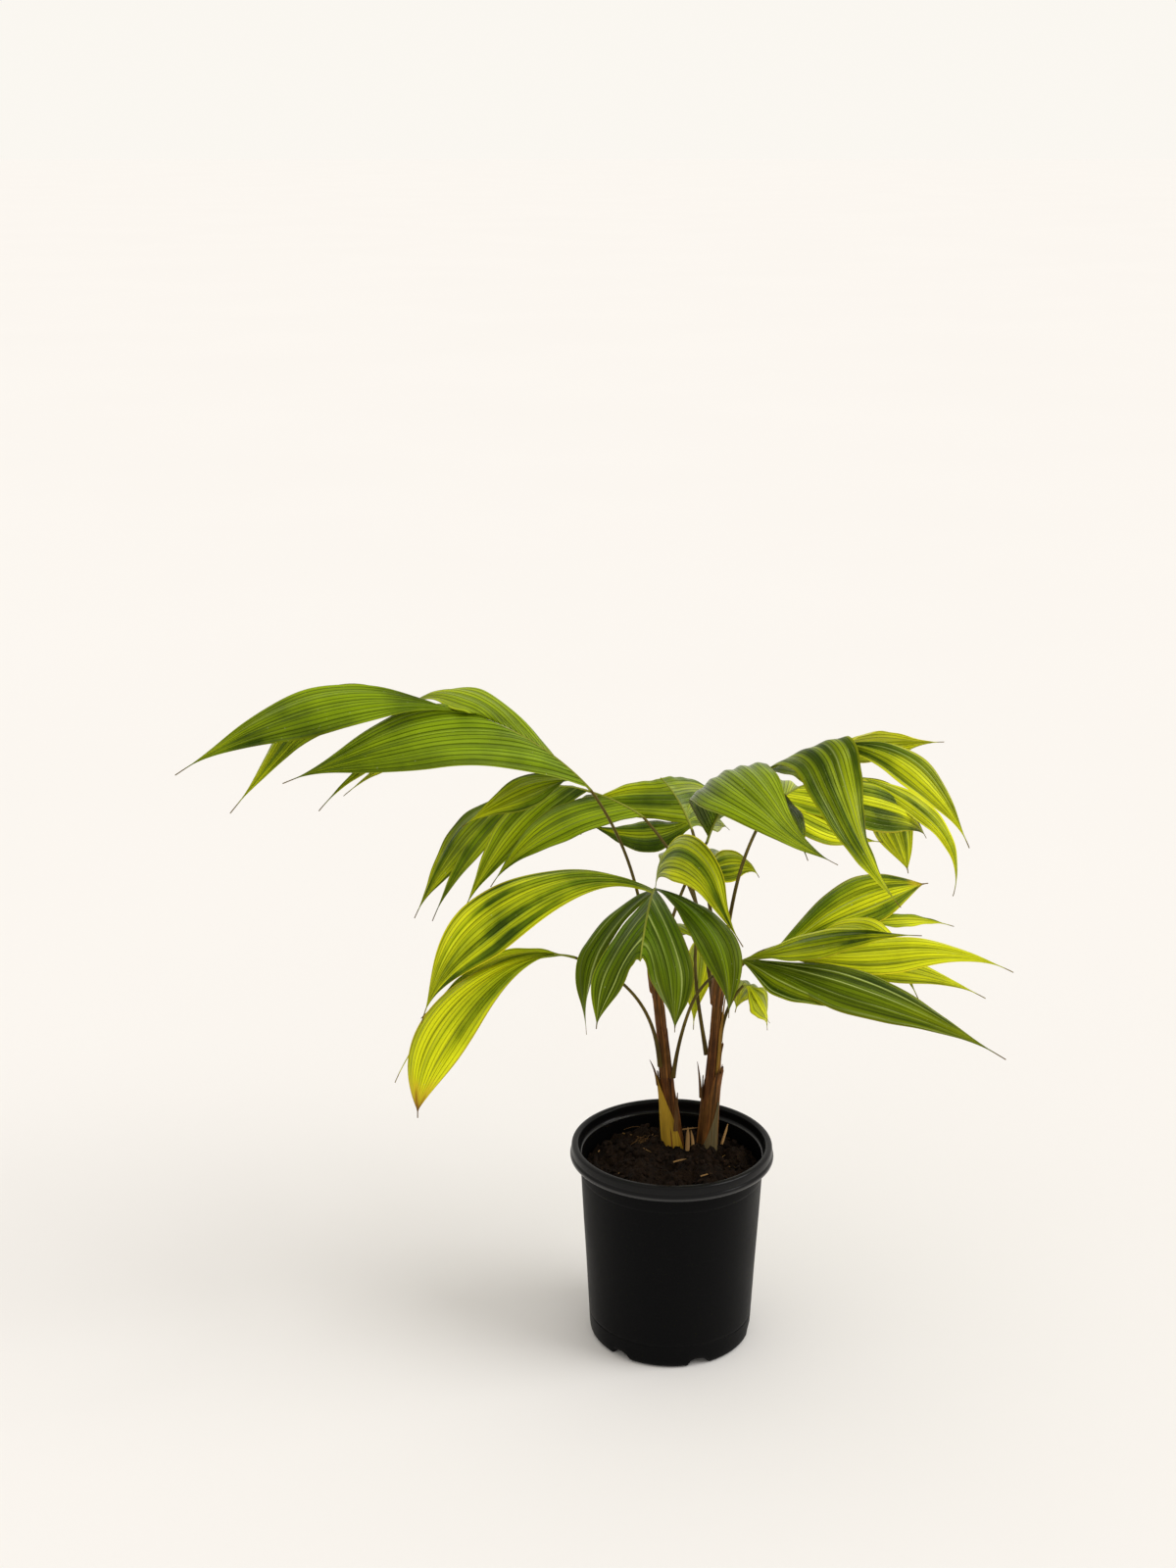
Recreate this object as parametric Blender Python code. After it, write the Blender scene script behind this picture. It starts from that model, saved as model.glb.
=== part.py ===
"""A young clumping palm in a black nursery pot: two leaning stems, twelve fronds with
broad drooping leaflets, soil and pot, each piece a closed solid at its real size in metres."""

import math
from collections import namedtuple

import bmesh
import bpy
import numpy as np

# Pot
RIM_RADIUS = 0.100
POT_HEIGHT = 0.208
WALL = 0.0022
LIP_DROP = 0.016
LIP_STEP = 0.0075
BODY_TOP_RADIUS = 0.0915
BODY_FOOT_RADIUS = 0.0815
FOOT_ROUND = 0.007
FLOOR = 0.004
POT_SIDES = 40
NOTCH_COUNT = 6
NOTCH_WIDTH = 0.022
NOTCH_HEIGHT = 0.0065
NOTCH_DEPTH = 0.010
NOTCH_TURN = 49.0

# Soil
SOIL_LEVEL = 0.1845
SOIL_EDGE_LEVEL = 0.1790
SOIL_PLATEAU = 0.068
SOIL_SIDES = 36

# Clear gap that touching solids keep, and the grid that fused blades snap to
GAP = 0.0003
SNAP = 0.000004

# Stems: foot and top of each axis, radii from foot to top
Stem = namedtuple("Stem", "foot top radii")
STEMS = {
    "stem_1": Stem((0.003, 0.040), (-0.017, 0.036, 0.376), (0.0110, 0.0076, 0.0066, 0.0064)),
    "stem_2": Stem((0.037, 0.035), (0.047, 0.038, 0.368), (0.0108, 0.0086, 0.0062, 0.0064)),
}
STEM_SIDES = 12
STEM_RINGS = 7

# Dead stubs beside the stems: stem, height, side, length and lean
Stub = namedtuple("Stub", "stem height side length lean")
STUBS = {
    "stub_1": Stub("stem_1", 0.252, 195, 0.030, (84, 62)),
    "stub_2": Stub("stem_1", 0.205, 290, 0.044, (88, 82)),
    "stub_3": Stub("stem_2", 0.240, 200, 0.040, (88, 80)),
}
STUB_RADII = (0.0022, 0.0012)

# Stalks and rachises
STALK_RADII = (0.0021, 0.0016)
RACHIS_RADII = (0.0016, 0.0011)
STALK_SIDES = 6
STALK_STEPS = 8
RACHIS_STEPS = 6
CROWN_RING = 0.0046
SIDE_FIT = 0.95
PATH_STEPS = 24

# Leaflets
LEAF_STEPS = (4, 8)
LEAF_STEP_LENGTH = 0.025
LEAF_THICKNESS_SHARE = 0.0105
LEAF_THINNEST = 0.0016
TIP_WIDTH = 0.0016
BASE_REACH = 0.6
FOOT_ASIDE = 0.0008
FOOT_STAGGER = 0.0002
FOOT_CLEAR = 0.0025

# A leaflet's foot is its stretch of the rachis, from 0 to 1. Swing is its heading against the
# rachis, left positive; pitch is degrees above the level; roll turns the blade on its midline.
# Each list runs evenly from the leaflet's base to its tip.
Leaf = namedtuple(
    "Leaf", "foot length width swing pitch roll widest cup taper", defaults=(0.38, 0.10, 1.9)
)

# A frond leaves its stem at a height and a side, or in the ring at the stem's top where the
# height is None. Heading is degrees from +X towards +Y, along the stalk and then the rachis.
Frond = namedtuple("Frond", "stem height side heading pitch stalk turn bend rachis leaves")

FRONDS = {
    "frond_a": Frond("stem_1", None, 205, (200, 193), (84, 74, 56), 0.203, (191, 189), (50, 15), 0.165, [
        Leaf((0.02, 0.90), 0.246, 0.066, (14, 10, 2), (24, -10, -20), (-35, -45), 0.45, 0.06),
        Leaf((0.88, 1.00), 0.276, 0.050, (12, 8, 1), (22, -12, -33), (-40, -50), 0.48, 0.10, 1.9),
        Leaf((0.90, 1.00), 0.258, 0.045, (-4, -6, -4), (12, 0, -54, -50), (-50, -60), 0.42),
        Leaf((0.79, 0.86), 0.175, 0.014, (-3, -3, 0), (-16, -28, -50), (-40, -50), 0.50),
        Leaf((0.60, 0.80), 0.164, 0.034, (-6, -8, -6), (2, -32, -40), (-30, -30)),
        Leaf((0.30, 0.86), 0.130, 0.060, (-22, -26, -30), (56, 6, -46), (-20, 10)),
        Leaf((0.00, 0.14), 0.125, 0.040, (-12, -6, 0), (0, -24, -34), (-40, -50)),
    ]),
    "frond_b": Frond("stem_2", None, 165, (150, 143), (80, 62, 36), 0.176, (156, 172), (28, 10, -26), 0.137, [
        Leaf((0.00, 0.36), 0.160, 0.042, (38, 36, 34), (-2, -28, -58), (-30, -50)),
        Leaf((0.46, 0.84), 0.164, 0.036, (36, 32, 26), (-26, -52, -66), (-30, -60)),
        Leaf((0.84, 0.98), 0.182, 0.046, (10, 16, 16), (-24, -52, -66), (-30, -55)),
        Leaf((0.74, 0.92), 0.178, 0.028, (24, 22, 18), (-26, -54, -68), (-30, -50)),
        Leaf((0.05, 0.40), 0.100, 0.040, (-34, -44, -48), (-8, -38, -60), (20, 40)),
        Leaf((0.45, 0.84), 0.140, 0.045, (-60, -64, -66), (-12, -24, -44), (20, 40)),
    ]),
    "frond_c": Frond("stem_1", 0.275, 238, (240, 205), (80, 52, 26), 0.188, (203, 201), (24, 8), 0.022, [
        Leaf((0.04, 0.60), 0.162, 0.034, (-4, -20, -28), (18, -30, -48), (50, 65)),
        Leaf((0.30, 0.98), 0.228, 0.050, (0, 2, -2), (6, -32, -58, -90), (-40, -60), 0.62, 0.10, 1.1),
        Leaf((0.60, 0.80), 0.208, 0.014, (-6, -6, -4), (0, -36, -66), (-20, -20)),
    ]),
    "frond_d": Frond("stem_1", None, 275, (270, 264), (82, 72, 50), 0.108, (264, 257), (22, -58), 0.118, [
        Leaf((0.02, 0.30), 0.166, 0.022, (-46, -52, 62), (-12, -54, -86), (-10, -50), 0.5, 0.10, 1.4),
        Leaf((0.26, 1.00), 0.114, 0.033, (-45, -54, -14), (-38, -61, -76), (-10, -50), 0.5, 0.08, 1.4),
        Leaf((0.10, 1.00), 0.118, 0.042, (44, 38, 0), (-34, -62, -84), (10, 45), 0.5, 0.10, 1.3),
        Leaf((0.00, 0.14), 0.157, 0.041, (56, 64, -10), (-2, -50, -86), (10, 45), 0.5, 0.10, 1.4),
        Leaf((0.16, 0.28), 0.286, 0.056, (-62, -62, -58), (32, -10, -38, -74), (-10, -50, -60), 0.62),
        Leaf((0.00, 0.12), 0.178, 0.047, (28, 46, 62), (78, 20, -56, -50), (60, 70), 0.38),
    ]),
    "frond_e": Frond("stem_1", None, 350, (325, 326), (80, 70, 60), 0.1525, (332, 352), (75, 34, 10), 0.189, [
        Leaf((0.03, 0.46), 0.216, 0.084, (-90, -54, -4, 28), (68, 6, -42, -28), (0, 20), 0.40, 0.08, 1.6),
        Leaf((0.52, 0.94), 0.198, 0.050, (-50, -40, 2, 10), (56, -58, -66, -58, -50), (10, 30), 0.38, 0.08, 1.6),
        Leaf((0.88, 1.00), 0.158, 0.036, (-8, -12, -10), (2, -40, -66), (30, 50), 0.42),
        Leaf((0.74, 0.96), 0.122, 0.052, (50, 24, 14), (-4, -2, 0), (-50, -50)),
        Leaf((0.10, 0.50), 0.130, 0.055, (45, 60, 60), (-10, -45, -66), (-10, -30)),
        Leaf((0.50, 0.74), 0.130, 0.055, (40, 50, 55), (-10, -45, -66), (-10, -30)),
    ]),
    "frond_f": Frond("stem_2", None, 45, (66, 45), (80, 66, 40), 0.174, (42, 16), (28, -8), 0.110, [
        Leaf((0.10, 0.60), 0.160, 0.056, (-34, -24, -2), (-10, -12, -22, -60), (40, 55), 0.52, 0.12, 1.3),
        Leaf((0.00, 0.25), 0.120, 0.040, (-45, -35, -20), (-30, -26, -10), (40, 50)),
        Leaf((0.74, 1.00), 0.142, 0.050, (-24, 6, 16), (-20, -62, -74), (50, 120), 0.45, 0.08, 1.2),
        Leaf((0.90, 1.00), 0.184, 0.026, (-20, -30, -34), (-12, -40, -104), (30, 50)),
        Leaf((0.05, 0.45), 0.140, 0.050, (45, 55, 60), (10, -30, -60), (20, 30)),
        Leaf((0.50, 0.95), 0.150, 0.050, (30, 35, 35), (0, -30, -60), (20, 30)),
    ]),
    "frond_g": Frond("stem_2", None, 105, (110, 112), (76, 62, 48), 0.148, (115, 120), (44, 16), 0.075, [
        Leaf((0.10, 1.00), 0.104, 0.040, (50, 50, 50), (-4, -6, -18), (-40, -50)),
        Leaf((0.30, 1.00), 0.110, 0.038, (-60, -66, -66), (-8, -18, -40), (40, 50)),
        Leaf((0.00, 0.20), 0.108, 0.036, (60, 62, 55), (-34, 2, 22), (-40, -50)),
        Leaf((0.00, 0.30), 0.100, 0.045, (-50, -60, -60), (0, -24, -40), (30, 50)),
    ]),
    "frond_h": Frond("stem_1", 0.262, 318, (312, 334), (82, 70, 30), 0.163, (336, 345), (20, 5), 0.055, [
        Leaf((0.00, 0.35), 0.264, 0.050, (-6, 0, 6), (-2, -12, -28), (30, 50)),
        Leaf((0.75, 1.00), 0.230, 0.040, (15, 22, 25), (-2, 4, -30), (40, 50)),
        Leaf((0.60, 0.80), 0.224, 0.030, (26, 28, 27), (-8, -10, -32), (40, 50), 0.50),
        Leaf((0.00, 0.30), 0.174, 0.040, (4, 6, 8), (22, 17, 2), (20, 30)),
        Leaf((0.00, 0.20), 0.122, 0.040, (-13, -10, -3), (-10, -14, -18), (30, 40)),
    ]),
    "frond_i": Frond("stem_2", 0.350, 15, (35, 18), (74, 40, 14), 0.060, (15, 12), (14, 6), 0.110, [
        Leaf((0.30, 0.55), 0.154, 0.034, (-35, -50, -64), (34, 6, -48, -54), (40, 20)),
        Leaf((0.15, 0.50), 0.152, 0.054, (15, 6, -4), (32, 15, 4), (40, 50), 0.54, 0.12, 1.2),
        Leaf((0.84, 0.96), 0.105, 0.020, (2, 0, 0), (4, -2, -22), (30, 30)),
        Leaf((0.58, 0.92), 0.130, 0.045, (45, 50, 50), (0, -30, -56), (20, 30)),
        Leaf((0.66, 0.78), 0.060, 0.014, (-14, -10, -6), (-6, -12, -20), (40, 40)),
    ]),
    "frond_j": Frond("stem_2", 0.296, 50, (55, 36), (78, 60, 30), 0.062, (36, 40), (0, -30), 0.014, [
        Leaf((0.20, 1.00), 0.056, 0.040, (-44, -24, 20), (-44, -70, -86), (40, 40)),
        Leaf((0.00, 0.40), 0.050, 0.010, (-30, -30, -20), (-56, -60, -60), (0, 0)),
        Leaf((0.50, 1.00), 0.110, 0.040, (50, 60, 60), (-10, -40, -60), (20, 20)),
    ]),
    "frond_k": Frond("stem_2", 0.282, 138, (130, 80), (76, 64, 50), 0.115, (75, 78), (30, -40), 0.030, [
        Leaf((0.20, 1.00), 0.130, 0.044, (10, 22, 30), (-50, -78, -86), (-30, -20)),
        Leaf((0.10, 0.80), 0.120, 0.040, (45, 45, 45), (10, -40, -66), (20, 20)),
    ]),
    "frond_l": Frond("stem_2", 0.340, 122, (125, 110), (78, 68, 50), 0.125, (60, 40), (4, -6), 0.030, [
        Leaf((0.00, 1.00), 0.072, 0.040, (-36, -36, -30), (20, 4, -66), (40, 50), 0.40),
        Leaf((0.60, 1.00), 0.120, 0.045, (10, 20, 20), (20, -20, -50), (10, 10)),
        Leaf((0.30, 0.90), 0.120, 0.045, (60, 65, 65), (20, -20, -50), (20, 20)),
    ]),
}

# Colours as red, green, blue, then roughness
BLACK_PLASTIC = ((0.012, 0.013, 0.014), 0.42)
DARK_SOIL = ((0.020, 0.012, 0.008), 0.95)
BROWN_STEM = ((0.150, 0.075, 0.035), 0.75)
DEAD_STUB = ((0.120, 0.075, 0.040), 0.85)
STALK_BROWN = ((0.110, 0.085, 0.025), 0.50)
LEAF_GREEN = ((0.100, 0.230, 0.020), 0.45)


def clear_scene():
    for old in list(bpy.data.objects):
        bpy.data.objects.remove(old)


def make_material(name, finish):
    """A plain Principled material from a colour and a roughness."""
    colour, roughness = finish
    material = bpy.data.materials.new(name)
    material.use_nodes = True
    shader = material.node_tree.nodes["Principled BSDF"]
    shader.inputs["Base Color"].default_value = (*colour, 1.0)
    shader.inputs["Roughness"].default_value = roughness
    shader.inputs["Metallic"].default_value = 0.0
    return material


def make_object(name, points, faces, material):
    """A mesh object from points and faces, its faces turned outwards."""
    mesh = bpy.data.meshes.new(name)
    mesh.from_pydata([tuple(p) for p in points], [], faces)
    shape = bmesh.new()
    shape.from_mesh(mesh)
    bmesh.ops.recalc_face_normals(shape, faces=shape.faces)
    shape.to_mesh(mesh)
    shape.free()
    piece = bpy.data.objects.new(name, mesh)
    bpy.context.scene.collection.objects.link(piece)
    if material:
        piece.data.materials.append(material)
    return piece


def turned(name, profile, sides, material):
    """A profile of (radius, height) points from axis to axis, spun once round the Z axis."""
    shape = bmesh.new()
    corners = [shape.verts.new((radius, 0.0, height)) for radius, height in profile]
    for a, b in zip(corners[:-1], corners[1:]):
        shape.edges.new((a, b))
    bmesh.ops.spin(
        shape, geom=shape.verts[:] + shape.edges[:], cent=(0, 0, 0), axis=(0, 0, 1),
        angle=math.tau, steps=sides, use_duplicate=False,
    )
    bmesh.ops.remove_doubles(shape, verts=shape.verts[:], dist=0.00002)
    bmesh.ops.recalc_face_normals(shape, faces=shape.faces[:])
    mesh = bpy.data.meshes.new(name)
    shape.to_mesh(mesh)
    shape.free()
    piece = bpy.data.objects.new(name, mesh)
    bpy.context.scene.collection.objects.link(piece)
    piece.data.materials.append(material)
    mesh.shade_smooth()
    mesh.set_sharp_from_angle(angle=math.radians(35))
    return piece


def unite(piece, others, mode, solver):
    """Joins or cuts the piece with the other objects by one applied Boolean, then drops them."""
    group = bpy.data.collections.new(piece.name + "_parts")
    bpy.context.scene.collection.children.link(group)
    for other in others:
        for old_group in list(other.users_collection):
            old_group.objects.unlink(other)
        group.objects.link(other)
    step = piece.modifiers.new("union", "BOOLEAN")
    step.operation = mode
    step.operand_type = "COLLECTION"
    step.collection = group
    step.solver = solver
    bpy.context.view_layer.update()
    evaluated = piece.evaluated_get(bpy.context.evaluated_depsgraph_get())
    result = bpy.data.meshes.new_from_object(evaluated)
    piece.modifiers.remove(step)
    piece.data = result
    for other in others:
        bpy.data.objects.remove(other)
    bpy.data.collections.remove(group)
    return piece


def clean_body(piece):
    """Snaps the points to a fine grid, then drops collapsed triangles, flat flaps and loose
    scraps, so that one closed body is left."""
    mesh = piece.data
    mesh.calc_loop_triangles()
    points = np.array([vertex.co[:] for vertex in mesh.vertices])
    faces = np.array([triangle.vertices[:] for triangle in mesh.loop_triangles])
    cells, index = np.unique(np.round(points / SNAP).astype(int), axis=0, return_inverse=True)
    faces = index.reshape(-1)[faces]
    flaps = True
    while flaps:
        order = np.sort(faces, axis=1)
        faces = faces[(order[:, 0] != order[:, 1]) & (order[:, 1] != order[:, 2])]
        _, same, count = np.unique(np.sort(faces, axis=1), axis=0, return_inverse=True, return_counts=True)
        single = count[same.reshape(-1)] == 1
        flaps = not single.all()
        faces = faces[single]
    shape = bmesh.new()
    corners = [shape.verts.new(cell * SNAP) for cell in cells]
    for face in faces:
        shape.faces.new([corners[k] for k in face])
    left = set(shape.faces)
    bodies = []
    while left:
        body = []
        waiting = [left.pop()]
        while waiting:
            face = waiting.pop()
            body.append(face)
            for edge in face.edges:
                across = [near for near in edge.link_faces if near in left and len(edge.link_faces) == 2]
                left.difference_update(across)
                waiting.extend(across)
        bodies.append(body)
    bodies.sort(key=len)
    for body in bodies[:-1]:
        bmesh.ops.delete(shape, geom=body, context="FACES")
    bmesh.ops.delete(shape, geom=[v for v in shape.verts if not v.link_faces], context="VERTS")
    bmesh.ops.recalc_face_normals(shape, faces=shape.faces[:])
    shape.to_mesh(mesh)
    shape.free()


def at_stations(values, s):
    """Values given at even steps along a run, read off at s from 0 to 1."""
    return np.interp(s, np.linspace(0, 1, len(values)), values)


def aims(heading, pitch):
    """Unit directions from headings and pitches in degrees."""
    h, p = np.radians(heading), np.radians(pitch)
    return np.stack([np.cos(p) * np.cos(h), np.cos(p) * np.sin(h), np.sin(p)], -1)


def walk(start, heading, pitch, length, steps):
    """A path walked in even hops while its heading and pitch change evenly."""
    s = np.linspace(0, 1, steps + 1)
    aim = aims(at_stations(heading, s), at_stations(pitch, s))
    hops = (aim[1:] + aim[:-1]) / 2 * length / steps
    return np.vstack([[start], np.asarray(start) + np.cumsum(hops, 0)]), aim


def smooth_step(t):
    t = np.clip(t, 0, 1)
    return t * t * (3 - 2 * t)


def stem_axis(stem, height):
    """The stem's axis point and radius at a height."""
    t = (height - SOIL_LEVEL) / (stem.top[2] - SOIL_LEVEL)
    x = stem.foot[0] + (stem.top[0] - stem.foot[0]) * t
    y = stem.foot[1] + (stem.top[1] - stem.foot[1]) * t
    return np.array([x, y, height]), float(at_stations(stem.radii, t))


def tube(name, path, radii, sides, material):
    """A round bar of even taper along a path, with flat ends."""
    along = np.gradient(path, axis=0)
    along /= np.linalg.norm(along, axis=1)[:, None]
    side = np.cross(along[0], (0.31, 0.95, 0.02))
    turns = np.arange(sides) * math.tau / sides
    rings = []
    for k, point in enumerate(path):
        side = side - along[k] * (side @ along[k])
        side /= np.linalg.norm(side)
        across = np.cross(along[k], side)
        radius = at_stations(radii, k / (len(path) - 1))
        rings.append(point + radius * (np.outer(np.cos(turns), side) + np.outer(np.sin(turns), across)))
    faces = [tuple(range(sides)), tuple(range((len(path) - 1) * sides, len(path) * sides))]
    for k in range(len(path) - 1):
        for i in range(sides):
            a, b = k * sides + i, k * sides + (i + 1) % sides
            faces.append((a, b, b + sides, a + sides))
    return make_object(name, np.vstack(rings), faces, material)


def leaf_widths(u, base, leaf):
    """Width along the leaflet: it widens smoothly to its widest, then tapers to a thread."""
    rise = base + (leaf.width - base) * smooth_step(u / leaf.widest)
    s = np.clip((u - leaf.widest) / (0.97 - leaf.widest), 0, 1)
    fall = leaf.width * (1 - s) ** leaf.taper * (1 + leaf.taper * s)
    return np.maximum(np.where(u < leaf.widest, rise, fall), TIP_WIDTH)


def leaf_grid(frond, leaf, rachis, steps, order):
    """Rows of three points across the blade, from its foot along the rachis to its tip. Each
    leaflet's foot lies a little to its own side and height, so that no two feet coincide."""
    s = np.linspace(0, 1, len(rachis))

    def on_rachis(t):
        return np.stack([np.interp(t, s, rachis[:, k]) for k in range(3)], -1)

    start, end = max(leaf.foot[0], FOOT_CLEAR / frond.rachis), leaf.foot[1]
    v = np.array([-1.0, 0.0, 1.0])
    share = (1 - v) / 2 if leaf.swing[0] > 0 else (1 + v) / 2
    foot_edge = on_rachis(start + (end - start) * share)
    base = min(np.linalg.norm(on_rachis(end) - on_rachis(start)), leaf.width)
    middle = (start + end) / 2
    heading = float(at_stations(frond.turn, middle))
    midline, aim = walk(
        on_rachis(middle), [heading + a for a in leaf.swing], leaf.pitch, leaf.length, steps
    )
    u = np.linspace(0, 1, steps + 1)
    turn = np.radians(heading + at_stations(leaf.swing, u))
    level = np.stack([-np.sin(turn), np.cos(turn), 0 * turn], -1)
    up = np.cross(aim, level)
    roll = np.radians(at_stations(leaf.roll, u))[:, None]
    own_side = FOOT_ASIDE if leaf.swing[0] > 0 else -FOOT_ASIDE
    foot_edge = foot_edge + level[0] * own_side + np.array([0, 0, order * FOOT_STAGGER])
    across = level * np.cos(roll) + up * np.sin(roll)
    normal = up * np.cos(roll) - level * np.sin(roll)
    width = leaf_widths(u, base, leaf)
    grid = midline[:, None] + across[:, None] * (v[None, :] * width[:, None] / 2)[..., None]
    grid = grid + normal[:, None] * (leaf.cup * width[:, None] * (0.5 - v[None] ** 2))[..., None]
    fade = (1 - np.clip(u / BASE_REACH, 0, 1)) ** 2
    return grid + fade[:, None, None] * (foot_edge - grid[0])[None]


def blade(name, grid, thickness):
    """A closed thin plate half its thickness to each side of the grid."""
    rows, cols = grid.shape[:2]
    normal = np.cross(np.gradient(grid, axis=0), np.gradient(grid, axis=1))
    normal /= np.linalg.norm(normal, axis=2)[..., None] + 1e-12
    points = np.vstack([
        (grid + normal * thickness / 2).reshape(-1, 3), (grid - normal * thickness / 2).reshape(-1, 3)
    ])
    under = rows * cols
    faces = []
    for i in range(rows - 1):
        for j in range(cols - 1):
            a, b = i * cols + j, (i + 1) * cols + j
            faces += [(a, b, b + 1), (a, b + 1, a + 1)]
            faces += [(under + a, under + b + 1, under + b), (under + a, under + a + 1, under + b + 1)]
    border = [i * cols for i in range(rows)]
    border += [(rows - 1) * cols + j for j in range(1, cols)]
    border += [i * cols + cols - 1 for i in range(rows - 2, -1, -1)]
    border += list(range(cols - 2, 0, -1))
    for a, b in zip(border, border[1:] + border[:1]):
        faces.append((a, under + a, under + b, b))
    return make_object(name, points, faces, None)


def make_pot(material):
    """The pot as one turned shell with a two-step rolled lip and notches round its foot."""
    foot_arc = [
        (BODY_FOOT_RADIUS - FOOT_ROUND * (1 - math.sin(a)), FOOT_ROUND * (1 - math.cos(a)))
        for a in np.radians((0, 30, 60, 90))
    ]
    lip_bottom = POT_HEIGHT - LIP_DROP
    outer = [(0.0, 0.0)] + foot_arc + [
        (BODY_TOP_RADIUS, lip_bottom),
        (RIM_RADIUS + 0.0006, lip_bottom + 0.0004),
        (RIM_RADIUS + 0.0014, lip_bottom + 0.0030),
        (RIM_RADIUS, lip_bottom + LIP_STEP),
        (RIM_RADIUS, POT_HEIGHT - 0.0025),
        (RIM_RADIUS - 0.0015, POT_HEIGHT),
    ]
    inner = [
        (RIM_RADIUS - 0.0055, POT_HEIGHT),
        (RIM_RADIUS - 0.0075, POT_HEIGHT - 0.0025),
        (BODY_TOP_RADIUS - WALL, POT_HEIGHT - 0.012),
        (BODY_FOOT_RADIUS - WALL, FOOT_ROUND),
        (BODY_FOOT_RADIUS - FOOT_ROUND, FLOOR),
        (0.0, FLOOR),
    ]
    pot = turned("pot", outer + inner, POT_SIDES, material)
    cutters = []
    for k in range(NOTCH_COUNT):
        turn = math.radians(NOTCH_TURN + k * 360 / NOTCH_COUNT)
        bpy.ops.mesh.primitive_cube_add(size=1)
        cutter = bpy.context.object
        cutter.dimensions = (NOTCH_DEPTH, NOTCH_WIDTH, NOTCH_HEIGHT * 2)
        reach = BODY_FOOT_RADIUS + 0.0010
        cutter.location = (reach * math.cos(turn), reach * math.sin(turn), 0.0)
        cutter.rotation_euler = (0, 0, turn)
        cutters.append(cutter)
    unite(pot, cutters, "DIFFERENCE", "EXACT")
    return pot


def make_soil(material):
    """The soil fills the pot to below its rim: a flat middle that falls a little to the wall."""
    wall_radius = BODY_TOP_RADIUS - WALL - GAP * 2
    share = (SOIL_EDGE_LEVEL - FOOT_ROUND) / (POT_HEIGHT - 0.012 - FOOT_ROUND)
    edge_radius = BODY_FOOT_RADIUS - WALL + (BODY_TOP_RADIUS - BODY_FOOT_RADIUS) * share
    profile = [
        (0.0, FLOOR + GAP),
        (BODY_FOOT_RADIUS - FOOT_ROUND - GAP * 2, FLOOR + GAP),
        (BODY_FOOT_RADIUS - WALL - GAP * 2, FOOT_ROUND + GAP),
        (min(edge_radius - GAP * 2, wall_radius), SOIL_EDGE_LEVEL),
        (SOIL_PLATEAU, SOIL_LEVEL),
        (0.0, SOIL_LEVEL),
    ]
    return turned("soil", profile, SOIL_SIDES, material)


def make_stem(name, stem, material):
    """A leaning stem, widest at the soil, with flat cuts at its foot and top."""
    heights = np.linspace(SOIL_LEVEL + GAP, stem.top[2], STEM_RINGS)
    rings = []
    turns = np.arange(STEM_SIDES) * math.tau / STEM_SIDES
    for height in heights:
        centre, radius = stem_axis(stem, height)
        rings.append(np.stack([
            centre[0] + radius * np.cos(turns), centre[1] + radius * np.sin(turns), 0 * turns + height
        ], -1))
    last = (STEM_RINGS - 1) * STEM_SIDES
    faces = [tuple(range(STEM_SIDES)), tuple(range(last, last + STEM_SIDES))]
    for k in range(STEM_RINGS - 1):
        for i in range(STEM_SIDES):
            a, b = k * STEM_SIDES + i, k * STEM_SIDES + (i + 1) % STEM_SIDES
            faces.append((a, b, b + STEM_SIDES, a + STEM_SIDES))
    return make_object(name, np.vstack(rings), faces, material)


def beside_stem(stem, height, side, radius):
    """A point beside the stem where a bar of this radius stands a gap clear of it."""
    centre, stem_radius = stem_axis(stem, height)
    reach = stem_radius * math.cos(math.pi / STEM_SIDES) + radius * SIDE_FIT + GAP
    return centre + reach * np.array([math.cos(math.radians(side)), math.sin(math.radians(side)), 0])


def frond_start(frond):
    """Where the stalk begins: beside the stem, or in the ring on its top."""
    stem = STEMS[frond.stem]
    if frond.height is not None:
        return beside_stem(stem, frond.height, frond.side, STALK_RADII[0])
    side = math.radians(frond.side)
    top = np.array(stem.top)
    return top + np.array([CROWN_RING * math.cos(side), CROWN_RING * math.sin(side), GAP * 3.5])


def thin_out(path, steps):
    """Evenly chosen points of a finely walked path."""
    return path[np.linspace(0, len(path) - 1, steps + 1).round().astype(int)]


def make_frond(name, frond, stalk_material, leaf_material):
    """A stalk, and past a small gap its blade: rachis and leaflets fused into one solid."""
    stalk, _ = walk(frond_start(frond), frond.heading, frond.pitch, frond.stalk, PATH_STEPS)
    rachis, _ = walk(stalk[-1], frond.turn, frond.bend, frond.rachis, PATH_STEPS)
    short = stalk.copy()
    stalk_aim = (stalk[-1] - stalk[-2]) / np.linalg.norm(stalk[-1] - stalk[-2])
    rachis_aim = (rachis[1] - rachis[0]) / np.linalg.norm(rachis[1] - rachis[0])
    bend = math.acos(min(1.0, float(stalk_aim @ rachis_aim)))
    short[-1] = stalk[-1] - stalk_aim * (GAP + STALK_RADII[1] * bend)
    tube(name + "_stalk", thin_out(short, STALK_STEPS), STALK_RADII, STALK_SIDES, stalk_material)
    core = tube(name + "_blade", thin_out(rachis, RACHIS_STEPS), RACHIS_RADII, STALK_SIDES, leaf_material)
    leaves = []
    for order, leaf in enumerate(frond.leaves):
        thickness = max(leaf.length * LEAF_THICKNESS_SHARE, LEAF_THINNEST)
        steps = int(np.clip(round(leaf.length / LEAF_STEP_LENGTH), *LEAF_STEPS))
        leaves.append(blade(name + "_leaf", leaf_grid(frond, leaf, rachis, steps, order), thickness))
    unite(core, leaves, "UNION", "MANIFOLD")
    clean_body(core)


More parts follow.
